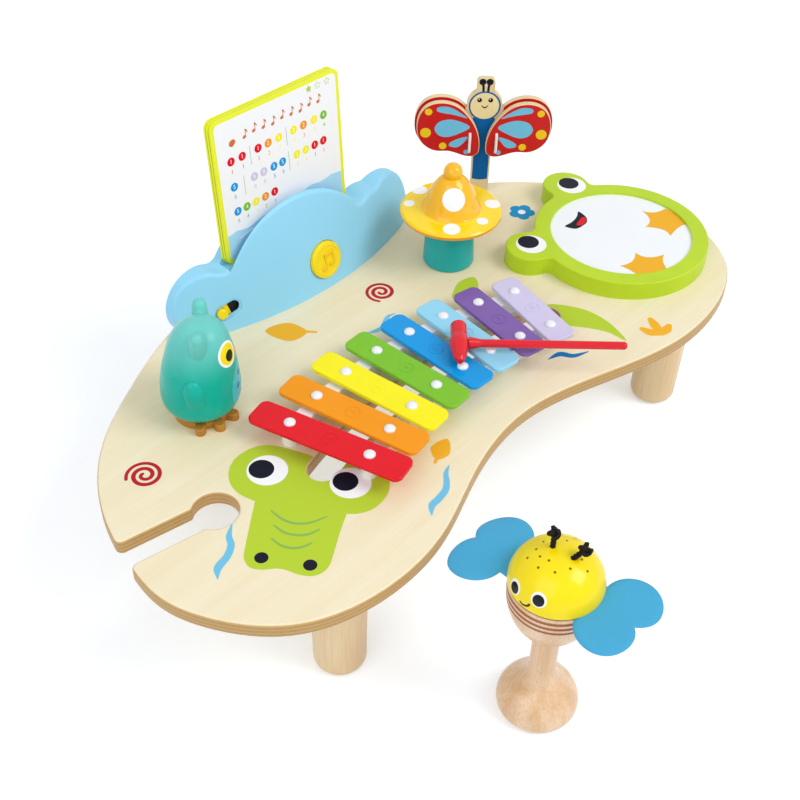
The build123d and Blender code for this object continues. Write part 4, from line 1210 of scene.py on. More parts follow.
@dataclass
class Tabletop:
    """Plywood top with its printed art, and the turned legs."""

    spiral_line: float = 3.1
    spiral_turns: float = 2.15
    spiral_heart: float = 0.16
    left_spiral: tuple = (-233.1, 40.1, 12.9, 154.0)
    right_spiral: tuple = (29.4, 71.4, 12.6, 218.0)
    leaf: tuple = (
        (-71.2, 99.8), (-60.8, 99.6), (-51.3, 94.1), (-47.9, 84.8), (-48.6, 76.0), (-57.6, 74.2),
        (-66.2, 77.5), (-71.0, 88.8),
    )
    leaf_stem: tuple = ((-50.5, 78.5), (-43.6, 70.8))
    small_leaf: tuple = (
        (-58.8, -83.2), (-62.2, -88.7), (-68.5, -93.8), (-73.9, -94.1), (-78.5, -92.2),
        (-79.2, -88.2), (-76.4, -83.0), (-73.3, -80.2), (-67.2, -79.8), (-61.8, -81.0),
    )
    small_leaf_stem: tuple = ((-75.6, -89.4), (-82.6, -92.6))
    waves: tuple = (
        (((-219.6, -36.4), (-227.7, -43.0), (-231.8, -50.0), (-239.5, -55.3), (-250.0, -58.7),
          (-255.8, -65.4)), (0.8, 4.0, 4.8, 5.2, 5.4, 0.8), 0),
        (((-77.5, -101.4), (-84.7, -105.0), (-91.0, -111.4), (-97.0, -115.6), (-105.9, -117.7),
          (-113.6, -118.7), (-120.0, -124.3)), (0.8, 3.4, 4.4, 5.0, 5.4, 5.0, 1.0), 0),
        (((-15.8, 41.5), (-8.5, 38.6), (-1.2, 38.2), (4.5, 41.8), (11.0, 44.8), (17.5, 43.5)),
         (1.0, 4.2, 4.6, 4.4, 3.0, 0.8), 0),
        (((61.1, -78.6), (72.2, -81.2), (78.0, -89.7), (90.2, -94.8)), (0.8, 5.2, 4.4, 0.8), 1),
    )
    flower: tuple = (201.9, 65.3, 6.6, 5.3)
    flower_eye: float = 3.4
    petals: int = 5
    petal_lift: float = 0.004
    sprout: tuple = (
        ((143.2, -108.0), (144.4, -114.9), (149.0, -121.6)),
        ((158.0, -105.4), (154.2, -112.6), (149.6, -120.6)),
        ((162.0, -120.6), (156.0, -122.0), (149.6, -122.4)),
    )
    head: tuple = (
        (-158.3, 6.2), (-150.5, -1.5), (-144.5, -13.5), (-140.0, -24.0), (-139.2, -28.6),
        (-142.6, -29.6), (-146.2, -30.7), (-150.3, -33.2), (-153.3, -37.2), (-154.3, -42.0),
        (-153.0, -47.0), (-149.6, -51.3), (-144.6, -53.5), (-139.4, -53.2), (-132.6, -51.3),
        (-126.0, -49.4), (-119.0, -50.0), (-114.0, -55.5), (-112.0, -66.0), (-115.2, -79.0),
        (-123.8, -88.2), (-133.6, -92.2), (-144.7, -92.8), (-153.5, -89.1), (-158.9, -84.4),
        (-160.4, -84.0), (-175.8, -93.2), (-190.2, -102.7), (-198.7, -107.7), (-206.3, -108.5),
        (-212.6, -105.5), (-217.4, -98.7), (-220.0, -91.6), (-223.8, -85.6), (-231.6, -79.0),
        (-235.4, -72.3), (-233.5, -64.9), (-228.6, -59.6), (-218.3, -50.8), (-205.8, -40.2),
        (-196.4, -32.4), (-195.7, -30.9), (-198.6, -19.6), (-197.4, -9.3), (-191.5, 0.8),
        (-180.9, 8.0), (-169.1, 9.4),
    )
    eyes: tuple = (
        (-170.4, -15.7, 14.4, -172.6, -12.0, 8.9), (-138.0, -65.0, 14.4, -139.5, -61.5, 8.9),
    )
    nostrils: tuple = ((-224.9, -71.9), (-206.8, -98.6))
    nostril: float = 4.6
    wrinkles: tuple = (
        ((-193.5, -45.8), (-193.2, -56.7), (-189.6, -65.7), (-182.3, -72.0), (-171.2, -75.8)),
        ((-200.7, -56.9), (-200.1, -66.3), (-195.8, -73.8), (-189.7, -78.7), (-181.9, -80.6)),
        ((-209.6, -64.6), (-208.9, -73.6), (-205.2, -80.2), (-199.8, -84.0), (-193.4, -85.6)),
    )
    tail: tuple = ((108.0, -33.0), (116.5, -37.0), (125.0, -49.0), (131.1, -65.2), (130.5, -86.0),
                   (122.3, -108.0), (120.5, -92.0), (114.1, -78.2), (104.2, -63.5), (99.5, -56.5),
                   (104.0, -55.2), (109.6, -52.6), (113.6, -48.2), (114.6, -42.6), (112.6, -37.2))
    foot: tuple = (
        (98.5, 32.0), (95.6, 24.0), (89.0, 18.4), (79.9, 17.2), (68.0, 18.5), (65.0, 25.1),
        (77.3, 33.0), (87.5, 35.5),
    )

    def flat(self) -> Place:
        """The tabletop's upper face."""
        return Place.level(0.0, 0.0, TOP)

    def spiral(self, x: float, y: float, radius: float, start: float) -> Outline:
        """A painted spiral.

        Args:
            x, y: its middle.
            radius: its outer end's reach.
            start: that end's bearing, in degrees.

        Returns:
            The outline.
        """
        points, widths = [], []
        count = 44
        for k in range(count + 1):
            share = k / count
            bearing = start - 360.0 * self.spiral_turns * (1 - share)
            reach = radius * (self.spiral_heart + (1 - self.spiral_heart) * share)
            points.append(around(bearing, reach, x, y))
            widths.append(self.spiral_line * (0.78 + 0.22 * math.sin(math.pi * share)))
        return stroke(points, widths, 3)

    def build_art(self) -> None:
        """Prints the small pictures on the top."""
        art, flat = Shell(), self.flat()
        for spiral in (self.left_spiral, self.right_spiral):
            art.ink(flat, self.spiral(*spiral))
        for leaf, stem in ((self.leaf, self.leaf_stem), (self.small_leaf, self.small_leaf_stem)):
            art.ink(flat, smooth_loop(leaf), 1)
            art.ink(flat, stroke(stem, (3.4, 2.2), 4), 1, thick=0.8)
        for points, widths, deep in self.waves:
            art.ink(flat, stroke(points, widths), 2 + deep)
        x, y, reach, radius = self.flower
        for k in range(self.petals):
            petal = disc(*around(90.0 + 360.0 * k / self.petals, reach, x, y), radius, 28)
            art.ink(flat, petal, 4, thick=1.0 + self.petal_lift * k / PRINT_FILM)
        art.ink(flat, disc(x, y, self.flower_eye, 24), 5, 1.0)
        for k, branch in enumerate(self.sprout):
            art.ink(flat, stroke(branch, (4.8, 8.2, 5.0)), 1, thick=1.0 - 0.12 * k)
        tints = inks(Tint.CRIMSON, Tint.GOLD, Tint.WATER, Tint.DEEP, Tint.PETAL, Tint.WHITE)
        art.piece("tabletop_art", "table", "table_top", tints)

    def build_crocodile(self) -> None:
        """Prints the crocodile that the bars lie on: head, foot and tail."""
        art, flat = Shell(), self.flat()
        for outline in (self.head, self.tail, self.foot):
            art.ink(flat, smooth_loop(outline, 6))
        for x, y, radius, px, py, pupil in self.eyes:
            art.ink(flat, disc(x, y, radius), 1, 1.0)
            art.ink(flat, disc(px, py, pupil), 2, 2.0)
        for x, y in self.nostrils:
            art.ink(flat, disc(x, y, self.nostril, 32), 2, 1.0)
        for line in self.wrinkles:
            art.ink(flat, stroke(line, (1.2, 1.9, 2.1, 1.9, 1.2)), 3, 1.0)
        tints = inks(Tint.REED, Tint.WHITE, Tint.NAVY, Tint.MOSS)
        art.piece("crocodile_print", "table", "table_top", tints)

    def build(self) -> None:
        """Dresses the wood and prints the art."""
        dress(Plywood().material("birch_plywood"), "table_top")
        for k, corner in enumerate(("front_left", "front_right", "back_left", "back_right")):
            leg = ClearWood(seed=4.0 * k, flecks=0.25)
            dress(leg.material("turned_leg_" + corner), "leg_" + corner)
        steel = Metal(srgb(0.80, 0.80, 0.80), 0.32).material("zinc_steel")
        dress(steel, "leg_studs", "leg_inserts", "wood_screws", "console_screws", "owl_screws",
              "owl_spindle", "mushroom_spindle", "bee_beads")
        self.build_art()
        self.build_crocodile()


# ---- Metallophone ----

@dataclass
class Metallophone:
    """Enamelled bars on white-topped rails, with pins, washers and raised figures."""

    ring: float = 5.4
    ring_line: float = 0.55
    ring_rise: float = 0.05
    figure: float = 7.6
    raise_by: float = 0.28

    def bar_frame(self, node: str) -> Place:
        """The frame on a bar's upper face, with up along the bar away from the player.

        Args:
            node: the bar.

        Returns:
            The frame, at the middle of the bar.
        """
        points = [v.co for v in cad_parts[node].data.vertices]
        middle = sum(points, Vector()) / len(points)
        xx = sum((p.x - middle.x) ** 2 for p in points)
        yy = sum((p.y - middle.y) ** 2 for p in points)
        xy = sum((p.x - middle.x) * (p.y - middle.y) for p in points)
        angle = 0.5 * math.atan2(2 * xy, xx - yy)
        up = Vector((math.cos(angle), math.sin(angle), 0))
        if up.y < 0:
            up = -up
        low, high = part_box(node)
        centre = Vector(((low.x + high.x) / 2, (low.y + high.y) / 2, high.z)) / MM
        return Place(centre - SHIFT, Vector((up.y, -up.x, 0)), up, Vector((0, 0, 1)))

    def build(self) -> None:
        """Dresses the bars and raises a figure in a ring on each."""
        for index, (name, colour) in enumerate(SCALE.items()):
            enamel = Enamel(colour).material("enamel_" + name)
            node = "bar_" + name
            dress(enamel, node)
            place = self.bar_frame(node)
            mark = Shell()
            ring = [place.at(u, v, self.ring_rise) for u, v in disc(0, 0, self.ring, 40)]
            mark.tube(ring, self.ring_line * MM / 2, 8, True)
            mark.figure(place, str(index + 1), self.figure, 0.0, self.raise_by)
            mark.piece("figure_on_" + name, "table", node, [enamel])
        pearl = Plastic(srgb(0.93, 0.94, 0.96), 0.16, 0.004, 1.5, 0.6)
        dress(pearl.material("pearl_pin"), "bar_pins")
        washer = Plastic(srgb(0.90, 0.90, 0.88), 0.6, 0.05)
        dress(washer.material("soft_washer"), "bar_washers")
        white = PaintedWood(srgb(0.975, 0.97, 0.96), 0.5)
        dress(white.material("white_rail"), "rail_back", "rail_front")


@dataclass
class Mallet:
    """Red lacquered mallet."""

    red: Colour = srgb(0.87, 0.06, 0.14)

    def build(self) -> None:
        """Dresses head and handle."""
        for node in ("mallet_head", "mallet_handle"):
            dress(PaintedWood(self.red, 0.22, 0.4).material(node + "_paint"), node)


# ---- Drum ----

@dataclass
class Drum:
    """Frog-faced frame drum: painted ring, coated skin and their prints."""

    skin_height: float = 14.0
    rim_height: float = 16.0
    eyes: tuple = ((-69.7, 42.0, 12.8, -69.0, 45.7, 8.9), (26.8, 74.5, 12.8, 27.5, 78.4, 8.9))
    mouth: tuple = (
        (-26.0, 40.1), (-19.0, 40.0), (-12.7, 40.5), (-6.0, 42.6), (0.2, 45.9), (-0.4, 39.5),
        (-2.8, 34.5), (-8.0, 30.6), (-14.6, 30.0), (-20.0, 30.4), (-23.6, 32.9),
    )
    tongue: tuple = (
        (-17.0, 34.6), (-11.5, 36.4), (-5.0, 38.2), (-3.4, 35.6), (-7.6, 31.8), (-14.4, 31.0),
    )
    feet: tuple = (
        ((41.4, 7.8), (47.0, -1.4), (58.8, -4.7), (57.8, -17.5), (51.2, -31.6), (42.5, -29.8),
        (27.0, -32.1), (30.4, -22.3), (23.1, -9.0), (35.0, -5.2)), ((-38.8, -27.1), (-26.4, -30.8),
        (-14.2, -25.3), (-12.0, -36.7), (0.9, -44.0), (-8.0, -49.2), (-15.0, -58.9),
        (-28.6, -53.7), (-39.1, -47.1), (-37.6, -36.7)),
    )

    @staticmethod
    def pointed(points: Sequence[Point], steps: int = 8) -> Outline:
        """A loop with a sharp tip at every other point and a bow through the ones between.

        Args:
            points: tips and bows by turns.
            steps: points made for each bow.

        Returns:
            The closed outline.
        """
        line = []
        for k in range(0, len(points), 2):
            a, through, b = (Vector(points[(k + i) % len(points)]) for i in range(3))
            middle = 2 * through - (a + b) / 2
            for t in (step / steps for step in range(steps)):
                line.append(tuple(a * (1 - t) ** 2 + middle * 2 * t * (1 - t) + b * t * t))
        return line

    def build(self) -> None:
        """Dresses and prints the drum."""
        rim = Place.level(*DRUM_MIDDLE, TOP + self.rim_height)
        head = Place.level(*DRUM_MIDDLE, TOP + self.skin_height)
        eyes = Shell()
        for x, y, radius, px, py, pupil in self.eyes:
            eyes.ink(rim, disc(x, y, radius, 56))
            eyes.ink(rim, disc(px, py, pupil, 48), 1, 1.0)
        eyes.piece("frog_eyes", "table", "drum_frame", inks(Tint.WHITE, Tint.NAVY))
        art = Shell()
        for foot in self.feet:
            art.ink(head, self.pointed(foot))
        art.ink(head, smooth_loop(self.mouth), 1)
        art.ink(head, smooth_loop(self.tongue), 2, 1.0)
        art.piece("frog_print", "table", "drum_skin", inks(Tint.GOLD, Tint.NAVY, Tint.RED))
        dress(PaintedWood(srgb(0.72, 0.84, 0.14), 0.36).material("frog_green_paint"), "drum_frame")
        dress(CoatedSkin().material("coated_skin"), "drum_skin")
        dress(ClearWood().material("drum_hoop_wood"), "drum_hoop")


# ---- Mushroom ----

@dataclass
class Mushroom:
    """Spinning painted mushroom: teal stem, spotted cap."""

    centre: Point = (103.2, 64.3)
    yellow: Colour = srgb(0.985, 0.845, 0.03)
    orange: Colour = srgb(0.985, 0.72, 0.02)
    # The rim's own orange, darkened as painted shade where it faces sideways and down.
    under: Colour = srgb(0.95, 0.61, 0.07)
    dots: tuple = (
        (89.1, 36.3, 51.0, 6.6), (125.3, 34.6, 51.0, 4.6), (223.1, 31.4, 51.0, 7.0),
        (276.3, 31.3, 51.0, 4.7), (324.6, 35.0, 51.0, 6.4), (18.0, 33.0, 51.0, 5.4),
        (52.0, 34.0, 51.0, 6.2), (227.0, 17.2, 69.4, 9.4), (47.0, 17.2, 69.4, 8.6),
    )
    bell_edge: float = 24.6
    brim_edge: tuple = (32.0, 35.0)

    def build(self) -> None:
        """Dresses the stem and paints the cap's spots."""
        dress(PaintedWood(srgb(0.12, 0.66, 0.67), 0.34).material("stem_paint"), "mushroom_stem")
        dress(Metal(srgb(0.86, 0.72, 0.40), 0.3).material("bush_brass"), "mushroom_bush")
        net = Net("cap_paint")
        place = Place.level(*self.centre, TOP)
        middle = place.spot(0, 0)
        east, north = net.axis(0) - middle.x, net.axis(1) - middle.y
        square = east * east + north * north
        reach = square.math("SQRT", square)
        facing = net.axis(2, net.facing)
        bell = reach.step(self.bell_edge + 0.9, self.bell_edge - 0.7)
        colour = net.mix(bell, self.yellow, self.orange)
        # The rim's side and underside take the darker orange: partly the rim's own orange paint,
        # partly painted shade.
        edge = facing.step(0.88, 0.55) * reach.step(*self.brim_edge)
        colour = net.mix(edge, colour, self.under)
        for azimuth, radius, height, size in self.dots:
            spot = net.ball(place.spot(*around(azimuth, radius), height), size)
            colour = net.mix(spot * facing.step(-0.1, 0.05), colour, Tint.WHITE.value)
        paint = PaintedWood(self.orange, 0.13, 0.5).coat_over(net, colour)
        dress(paint, "mushroom_cap", "mushroom_knob")


# ---- Butterfly ----

@dataclass
class Butterfly:
    """Butterfly clapper: painted wings that knock on their board, white elastic loops."""

    foot: Point = (198.7, 114.1)
    yaw: float = -46.0
    wing_front: float = 7.0
    head_height: float = 87.0
    head_ring: float = 13.9
    head_line: float = 1.5
    head_eye: tuple = (4.8, 5.6, 2.1)
    glint: tuple = (-0.5, 0.7, 0.55)
    feeler: tuple = ((2.0, 13.1), (2.2, 17.6), (2.9, 21.5))
    feeler_tip: tuple = (3.1, 22.6, 3.0)
    smile: tuple = ((-2.8, 0.4), (0.0, -1.6), (2.8, 0.4))
    post: tuple = ((-6.9, 14.4), (-3.5, 13.6), (0.0, 13.3), (3.5, 13.6), (6.9, 14.4), (6.9, 48.0),
                   (8.0, 60.0), (9.2, 70.0), (9.6, 75.8), (-9.6, 75.8), (-9.2, 70.0), (-8.0, 60.0),
                   (-6.9, 48.0))
    dots: tuple = ((48.5, 84.2, 3.2), (50.5, 64.0, 4.7), (35.0, 51.3, 3.3))
    patches: tuple = (
        ((-39.9, 88.9), (-32.2, 89.4), (-24.5, 86.1), (-14.8, 79.0), (-20.5, 80.2), (-27.0, 81.9),
         (-38.6, 84.0), (-41.6, 86.1)),
        ((-12.2, 69.8), (-19.3, 74.8), (-29.6, 77.2), (-38.6, 74.8), (-42.8, 68.4), (-39.2, 62.0),
         (-31.5, 60.2), (-21.9, 63.5)),
        ((-13.5, 60.6), (-21.9, 58.5), (-29.0, 54.3), (-28.6, 51.0), (-21.9, 50.4), (-16.7, 55.0)),
    )
    small_patch: tuple = (-14.2, 45.6, 2.2)
    loop_middle: float = 11.6
    loop_low: float = 45.8
    loop_high: float = 63.6
    loop_front: float = 8.35
    loop_back: float = -7.6
    loop_corner: float = 2.0
    loop_turns: int = 14
    cord: float = 1.0

    def flat(self, out: float = 0.0) -> Place:
        """The board's front plane.

        Args:
            out: how far it stands out from the board.

        Returns:
            The frame, with its origin at the board's foot.
        """
        across, front = Vector((*around(self.yaw), 0)), Vector((*around(self.yaw - 90.0), 0))
        origin = Vector((*self.foot, TOP)) + front * out
        return Place(origin, across, Vector((0, 0, 1)), front)

    def painted_front(self, name: str, colour: Colour,
                      reach: Optional[Callable[[Net], Value]] = None) -> Material:
        """Colour on the flat front, clear wood on the edges and back.

        Args:
            name: the material's name.
            colour: the paint.
            reach: makes a mask that limits the paint.

        Returns:
            The material.
        """
        net = Net(name)
        pale, dark = srgb(0.925, 0.84, 0.66), srgb(0.86, 0.74, 0.53)
        wood, _ = wood_tone(net, pale, dark, Grain.UPRIGHT, 6.0)
        mask = net.dot(self.flat().out, net.facing).step(0.93, 0.985)
        if reach:
            mask = mask * reach(net)
        return PaintedWood(colour, 0.33).coat_over(net, net.mix(mask, wood, colour))

    def board_mask(self, net: Net) -> Value:
        """A mask of the board's red, behind the wings, beside the post and the head's halo.

        Args:
            net: the board's material.

        Returns:
            1 where it is red.
        """
        flat = self.flat()
        lateral = abs(net.dot(flat.across) - flat.spot(0, 0).dot(flat.across))
        height = net.axis(2) - TOP
        halo = net.ball(flat.spot(0, self.head_height), self.head_ring + 2.8, 0.3)
        return lateral.step(8.2, 8.6) * height.step(38.0, 39.0) * (1 - halo)

    def build_wing_art(self, side: int) -> None:
        """Prints one wing's blue patches and yellow dots.

        Args:
            side: -1 for the left wing, 1 for the right.
        """
        art, flat = Shell(), self.flat(self.wing_front)
        for patch in self.patches:
            art.ink(flat, smooth_loop([(-side * u, v) for u, v in patch]))
        u, v, radius = self.small_patch
        art.ink(flat, disc(-side * u, v, radius, 20))
        for u, v, radius in self.dots:
            art.ink(flat, disc(side * u, v, radius, 32), 1)
        name = SIDES[side]
        art.piece("wing_print_" + name, "wing_" + name, "wing", inks(Tint.WATER, Tint.HONEY))

    def build_loop(self, side: int, yarn: Material) -> None:
        """Twists one elastic loop from three strands round its rectangle.

        Args:
            side: -1 for the left wing, 1 for the right.
            yarn: its finish.
        """
        flat = self.flat()
        low, high = (self.loop_back, self.loop_low), (self.loop_front, self.loop_high)
        line = rounded_box(low, high, self.loop_corner, 7)
        dense = []
        for a, b in zip(line, line[1:] + line[:1]):
            parts = max(1, round(math.dist(a, b) / 0.5))
            dense += [tuple(Vector(a).lerp(Vector(b), k / parts)) for k in range(parts)]
        loop = Shell()
        for strand in range(3):
            path = []
            for k, ((aw, av), (w, v), (bw, bv)) in enumerate(neighbours(dense)):
                away = Vector((bv - av, aw - bw)).normalized()
                turn = 360.0 * (k / len(dense) * self.loop_turns + strand / 3)
                out, aside = around(turn, self.cord * 0.60)
                u = side * self.loop_middle + aside
                path.append(flat.at(u, v + away.y * out, w + away.x * out))
            loop.tube(path, self.cord * 0.70 * MM, 7, True)
        name = SIDES[side]
        made = loop.piece("elastic_loop_" + name, "wing_" + name, "cord", [yarn], 60.0)
        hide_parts("butterfly_loop_" + name)

    def build_head(self) -> None:
        """Paints the post, the face and the feelers on the board."""
        art, flat = Shell(), self.flat()
        head = replace(flat, origin=flat.origin + flat.up * self.head_height)
        art.ink(flat, list(self.post))
        art.ink(head, disc(0, 0, self.head_ring, 64), thick=1.3)
        art.ink(head, disc(0, 0, self.head_ring - self.head_line, 64), 2, 1.3, 0.9)
        for side in SIDES:
            x, y, radius = self.head_eye
            art.ink(head, disc(side * x, y, radius, 28), 1, 2.2, 0.8)
            u, v, radius = self.glint
            art.ink(head, disc(side * x + u, y + v, radius, 16), 3, 3.0, 0.6)
            stem = [(side * u, v) for u, v in self.feeler]
            art.ink(head, stroke(stem, (2.2, 2.1, 2.2), 6), 1)
            u, v, radius = self.feeler_tip
            art.ink(head, disc(side * u, v, radius, 28), 1, thick=1.4)
        art.ink(head, stroke(self.smile, (0.6, 1.2, 0.6)), 1, 2.2, 0.8)
        face = ClearWood(srgb(0.96, 0.89, 0.68), srgb(0.93, 0.84, 0.62), seed=3.0)
        blue = Ink(srgb(0.01, 0.38, 0.66)).material("ink_post_blue")
        navy, white = inks(Tint.NAVY, Tint.WHITE)
        finishes = [blue, navy, face.material("face_wood"), white]
        art.piece("butterfly_face", "table", "board", finishes)

    def build(self) -> None:
        """Dresses and prints the clapper."""
        red = srgb(0.80, 0.09, 0.10)
        dress(self.painted_front("clapper_board", red, self.board_mask), "butterfly_board")
        wing = self.painted_front("clapper_wing", red)
        dress(wing, "butterfly_wing_left", "butterfly_wing_right")
        yarn = Yarn(srgb(0.985, 0.985, 0.98), 0.8, 0.86).material("white_elastic")
        for side in SIDES:
            self.build_wing_art(side)
            self.build_loop(side, yarn)
        self.build_head()


# ---- Music console ----

@dataclass
class Console:
    """Cloud-shaped music box with its round button, switch, board, speaker and batteries."""

    arc_centre: Point = (-2.0, 417.0)
    arc_radius: float = 312.0
    lean: float = 14.0
    button_x: float = 5.0
    button_height: float = 24.6
    button_proud: float = 3.0
    button_travel: float = 2.5
    note_heads: tuple = ((-4.6, -5.4), (4.0, -4.0))
    note_stem: tuple = ((1.5, 0.0), (3.0, 0.4), (3.0, 11.4), (1.5, 11.0))
    note_beam: tuple = ((-3.1, 6.0), (7.0, 7.8), (7.0, 4.2), (-3.1, 2.4))
    relief: float = 0.95
    edge: float = 0.3
    sunk: float = 0.1
    bead_reach: float = 12.6
    bead: float = 0.7
    spring_radius: float = 5.45
    spring_wire: float = 0.9
    spring_turns: float = 4.5
    spring_ends: float = 0.12
    button_depths: tuple = (-12.4, -5.6)
    blue: Colour = srgb(0.59, 0.85, 0.97)
    yellow: Colour = srgb(0.985, 0.87, 0.09)
    # The note's deeper yellow is painted shade: the note is moulded in the button's yellow.
    note: Colour = srgb(0.97, 0.79, 0.06)

    def face(self, x: float, height: float) -> Place:
        """The plane that touches the front at a point.

        Args:
            x: the point's drawn X.
            height: its height over the table.

        Returns:
            The frame, with its origin at the point.
        """
        lean = math.radians(self.lean)
        cx, cy = self.arc_centre
        radius = self.arc_radius - height * math.tan(lean)
        yaw = math.asin((x - cx) / radius)
        across = Vector((math.cos(yaw), math.sin(yaw), 0))
        forward = Vector((math.sin(yaw), -math.cos(yaw), 0))
        out = forward * math.cos(lean) + Vector((0, 0, math.sin(lean)))
        origin = Vector((x, cy - radius * math.cos(yaw), TOP + height))
        return Place(origin, across, out.cross(across), out)

    def build_note(self, place: Place, note_shade_finish: Material) -> None:
        """Raises a pair of beamed notes on the button.

        Args:
            place: the button's frame.
            note_shade_finish: their finish, a deeper yellow that is painted shade.
        """
        note = Shell()
        base, top = self.button_proud - self.sunk, self.button_proud + self.relief
        for u, v in self.note_heads:
            stem = [(u + x, v + y) for x, y in self.note_stem]
            note.plate(place, disc(u, v, 3.1, 32, 0.78, 22), base, top, 0, self.edge)
            note.plate(place, stem, base, top - 0.04, 0, self.edge)
        note.plate(place, list(self.note_beam), base, top + 0.04, 0, self.edge)
        note.piece("button_note", "button", "button", [note_shade_finish])

    def build_rim(self, place: Place, yellow: Material) -> None:
        """Raises a bead round the button's face.

        Args:
            place: the button's frame.
            yellow: its finish.
        """
        rim, height = Shell(), self.button_proud - self.sunk
        line = [place.at(u, v, height) for u, v in disc(0, 0, self.bead_reach, 72)]
        rim.tube(line, self.bead * MM, 10, True)
        rim.piece("button_bead", "button", "button", [yellow])

    def build_spring(self, place: Place) -> None:
        """Winds the button's return spring.

        Args:
            place: the button's frame.
        """
        low, high = self.button_depths
        wire = self.spring_wire / 2
        line = []
        count = 180
        for k in range(count + 1):
            share = k / count
            rise = (share - self.spring_ends) / (1 - 2 * self.spring_ends)
            w = low + wire + (high - low - 2 * wire) * min(max(rise, 0.0), 1.0)
            line.append(place.at(*around(360.0 * self.spring_turns * share, self.spring_radius), w))
        coil = Shell()
        coil.tube(line, wire * MM, 8)
        steel = Metal(srgb(0.82, 0.82, 0.84), 0.22).material("spring_wire")
        made = coil.piece("return_spring", "table", "steel", [steel], 60.0)
        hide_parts("button_spring")
        anchor = tuple(place.at(0, 0, low))
        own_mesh(made)

    def board_material(self) -> Material:
        """Green circuit board with copper runs and solder spots.

        Returns:
            The material.
        """
        net = Net("circuit_board")
        run = net.node("ShaderNodeTexBrick", None, {
            "Vector": net.place, "Color1": PURE, "Color2": (0.8, 0.8, 0.8, 1.0),
            "Mortar": (0.0, 0.0, 0.0, 1.0), "Scale": 0.14, "Mortar Size": 0.03})
        runs = Value(net, run.outputs["Fac"])
        spots = net.noise(1.8, 0.0, 4.0).step(0.66, 0.7)
        colour = net.mix(runs * 0.8, srgb(0.06, 0.36, 0.18), srgb(0.16, 0.52, 0.26))
        colour = net.mix(spots, colour, srgb(0.80, 0.81, 0.83))
        return net.finish(colour, 0.35 - spots * 0.1, net.bump(runs + spots, 0.05))

    def battery_material(self) -> Material:
        """Wrapped cells: dark sleeve with an orange band and steel ends.

        Returns:
            The material.
        """
        net = Net("cell_wrap")
        low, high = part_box("batteries")
        middle, half = (low.x + high.x) / 2 / MM, (high.x - low.x) / 2 / MM
        along = net.axis(0) - middle
        band = along.step(half * 0.42, half * 0.46)
        scratch = net.noise((6.0, 0.5, 0.5), 2.0)
        colour = net.mix(band, srgb(0.13, 0.13, 0.15), srgb(0.88, 0.50, 0.10))
        colour = net.mix((abs(along) / half).step(0.955, 0.965), colour, srgb(0.75, 0.75, 0.76))
        return net.finish(colour, scratch * 0.15 + 0.25, net.bump(scratch, 0.01))

    def build(self) -> None:
        """Dresses the box and adds the note, bead and spring."""
        shell = Plastic(self.blue, 0.42, 0.022, 0.55).material("cloud_plastic")
        dress(shell, "console_shell", "console_back", "battery_cover")
        yellow = Plastic(self.yellow, 0.26, 0.008, 0.8, 0.35).material("button_plastic")
        dress(yellow, "console_button", "switch_knob")
        black = Plastic(srgb(0.10, 0.10, 0.11), 0.5, 0.03).material("black_moulding")
        dress(black, "switch_body", "battery_box")
        cone = Plastic(srgb(0.14, 0.14, 0.15), 0.7, 0.12, 0.9).material("speaker_cone")
        dress(cone, "console_speaker")
        dress(self.board_material(), "console_pcb")
        dress(self.battery_material(), "batteries")
        place = self.face(self.button_x, self.button_height)
        # The note wears the deeper yellow as painted shade.
        note_shade_finish = Plastic(self.note, 0.26, 0.008, 0.8, 0.35).material("note_plastic")
        self.build_note(place, note_shade_finish)
        self.build_rim(place, yellow)
        self.build_spring(place)


# ---- Song cards ----

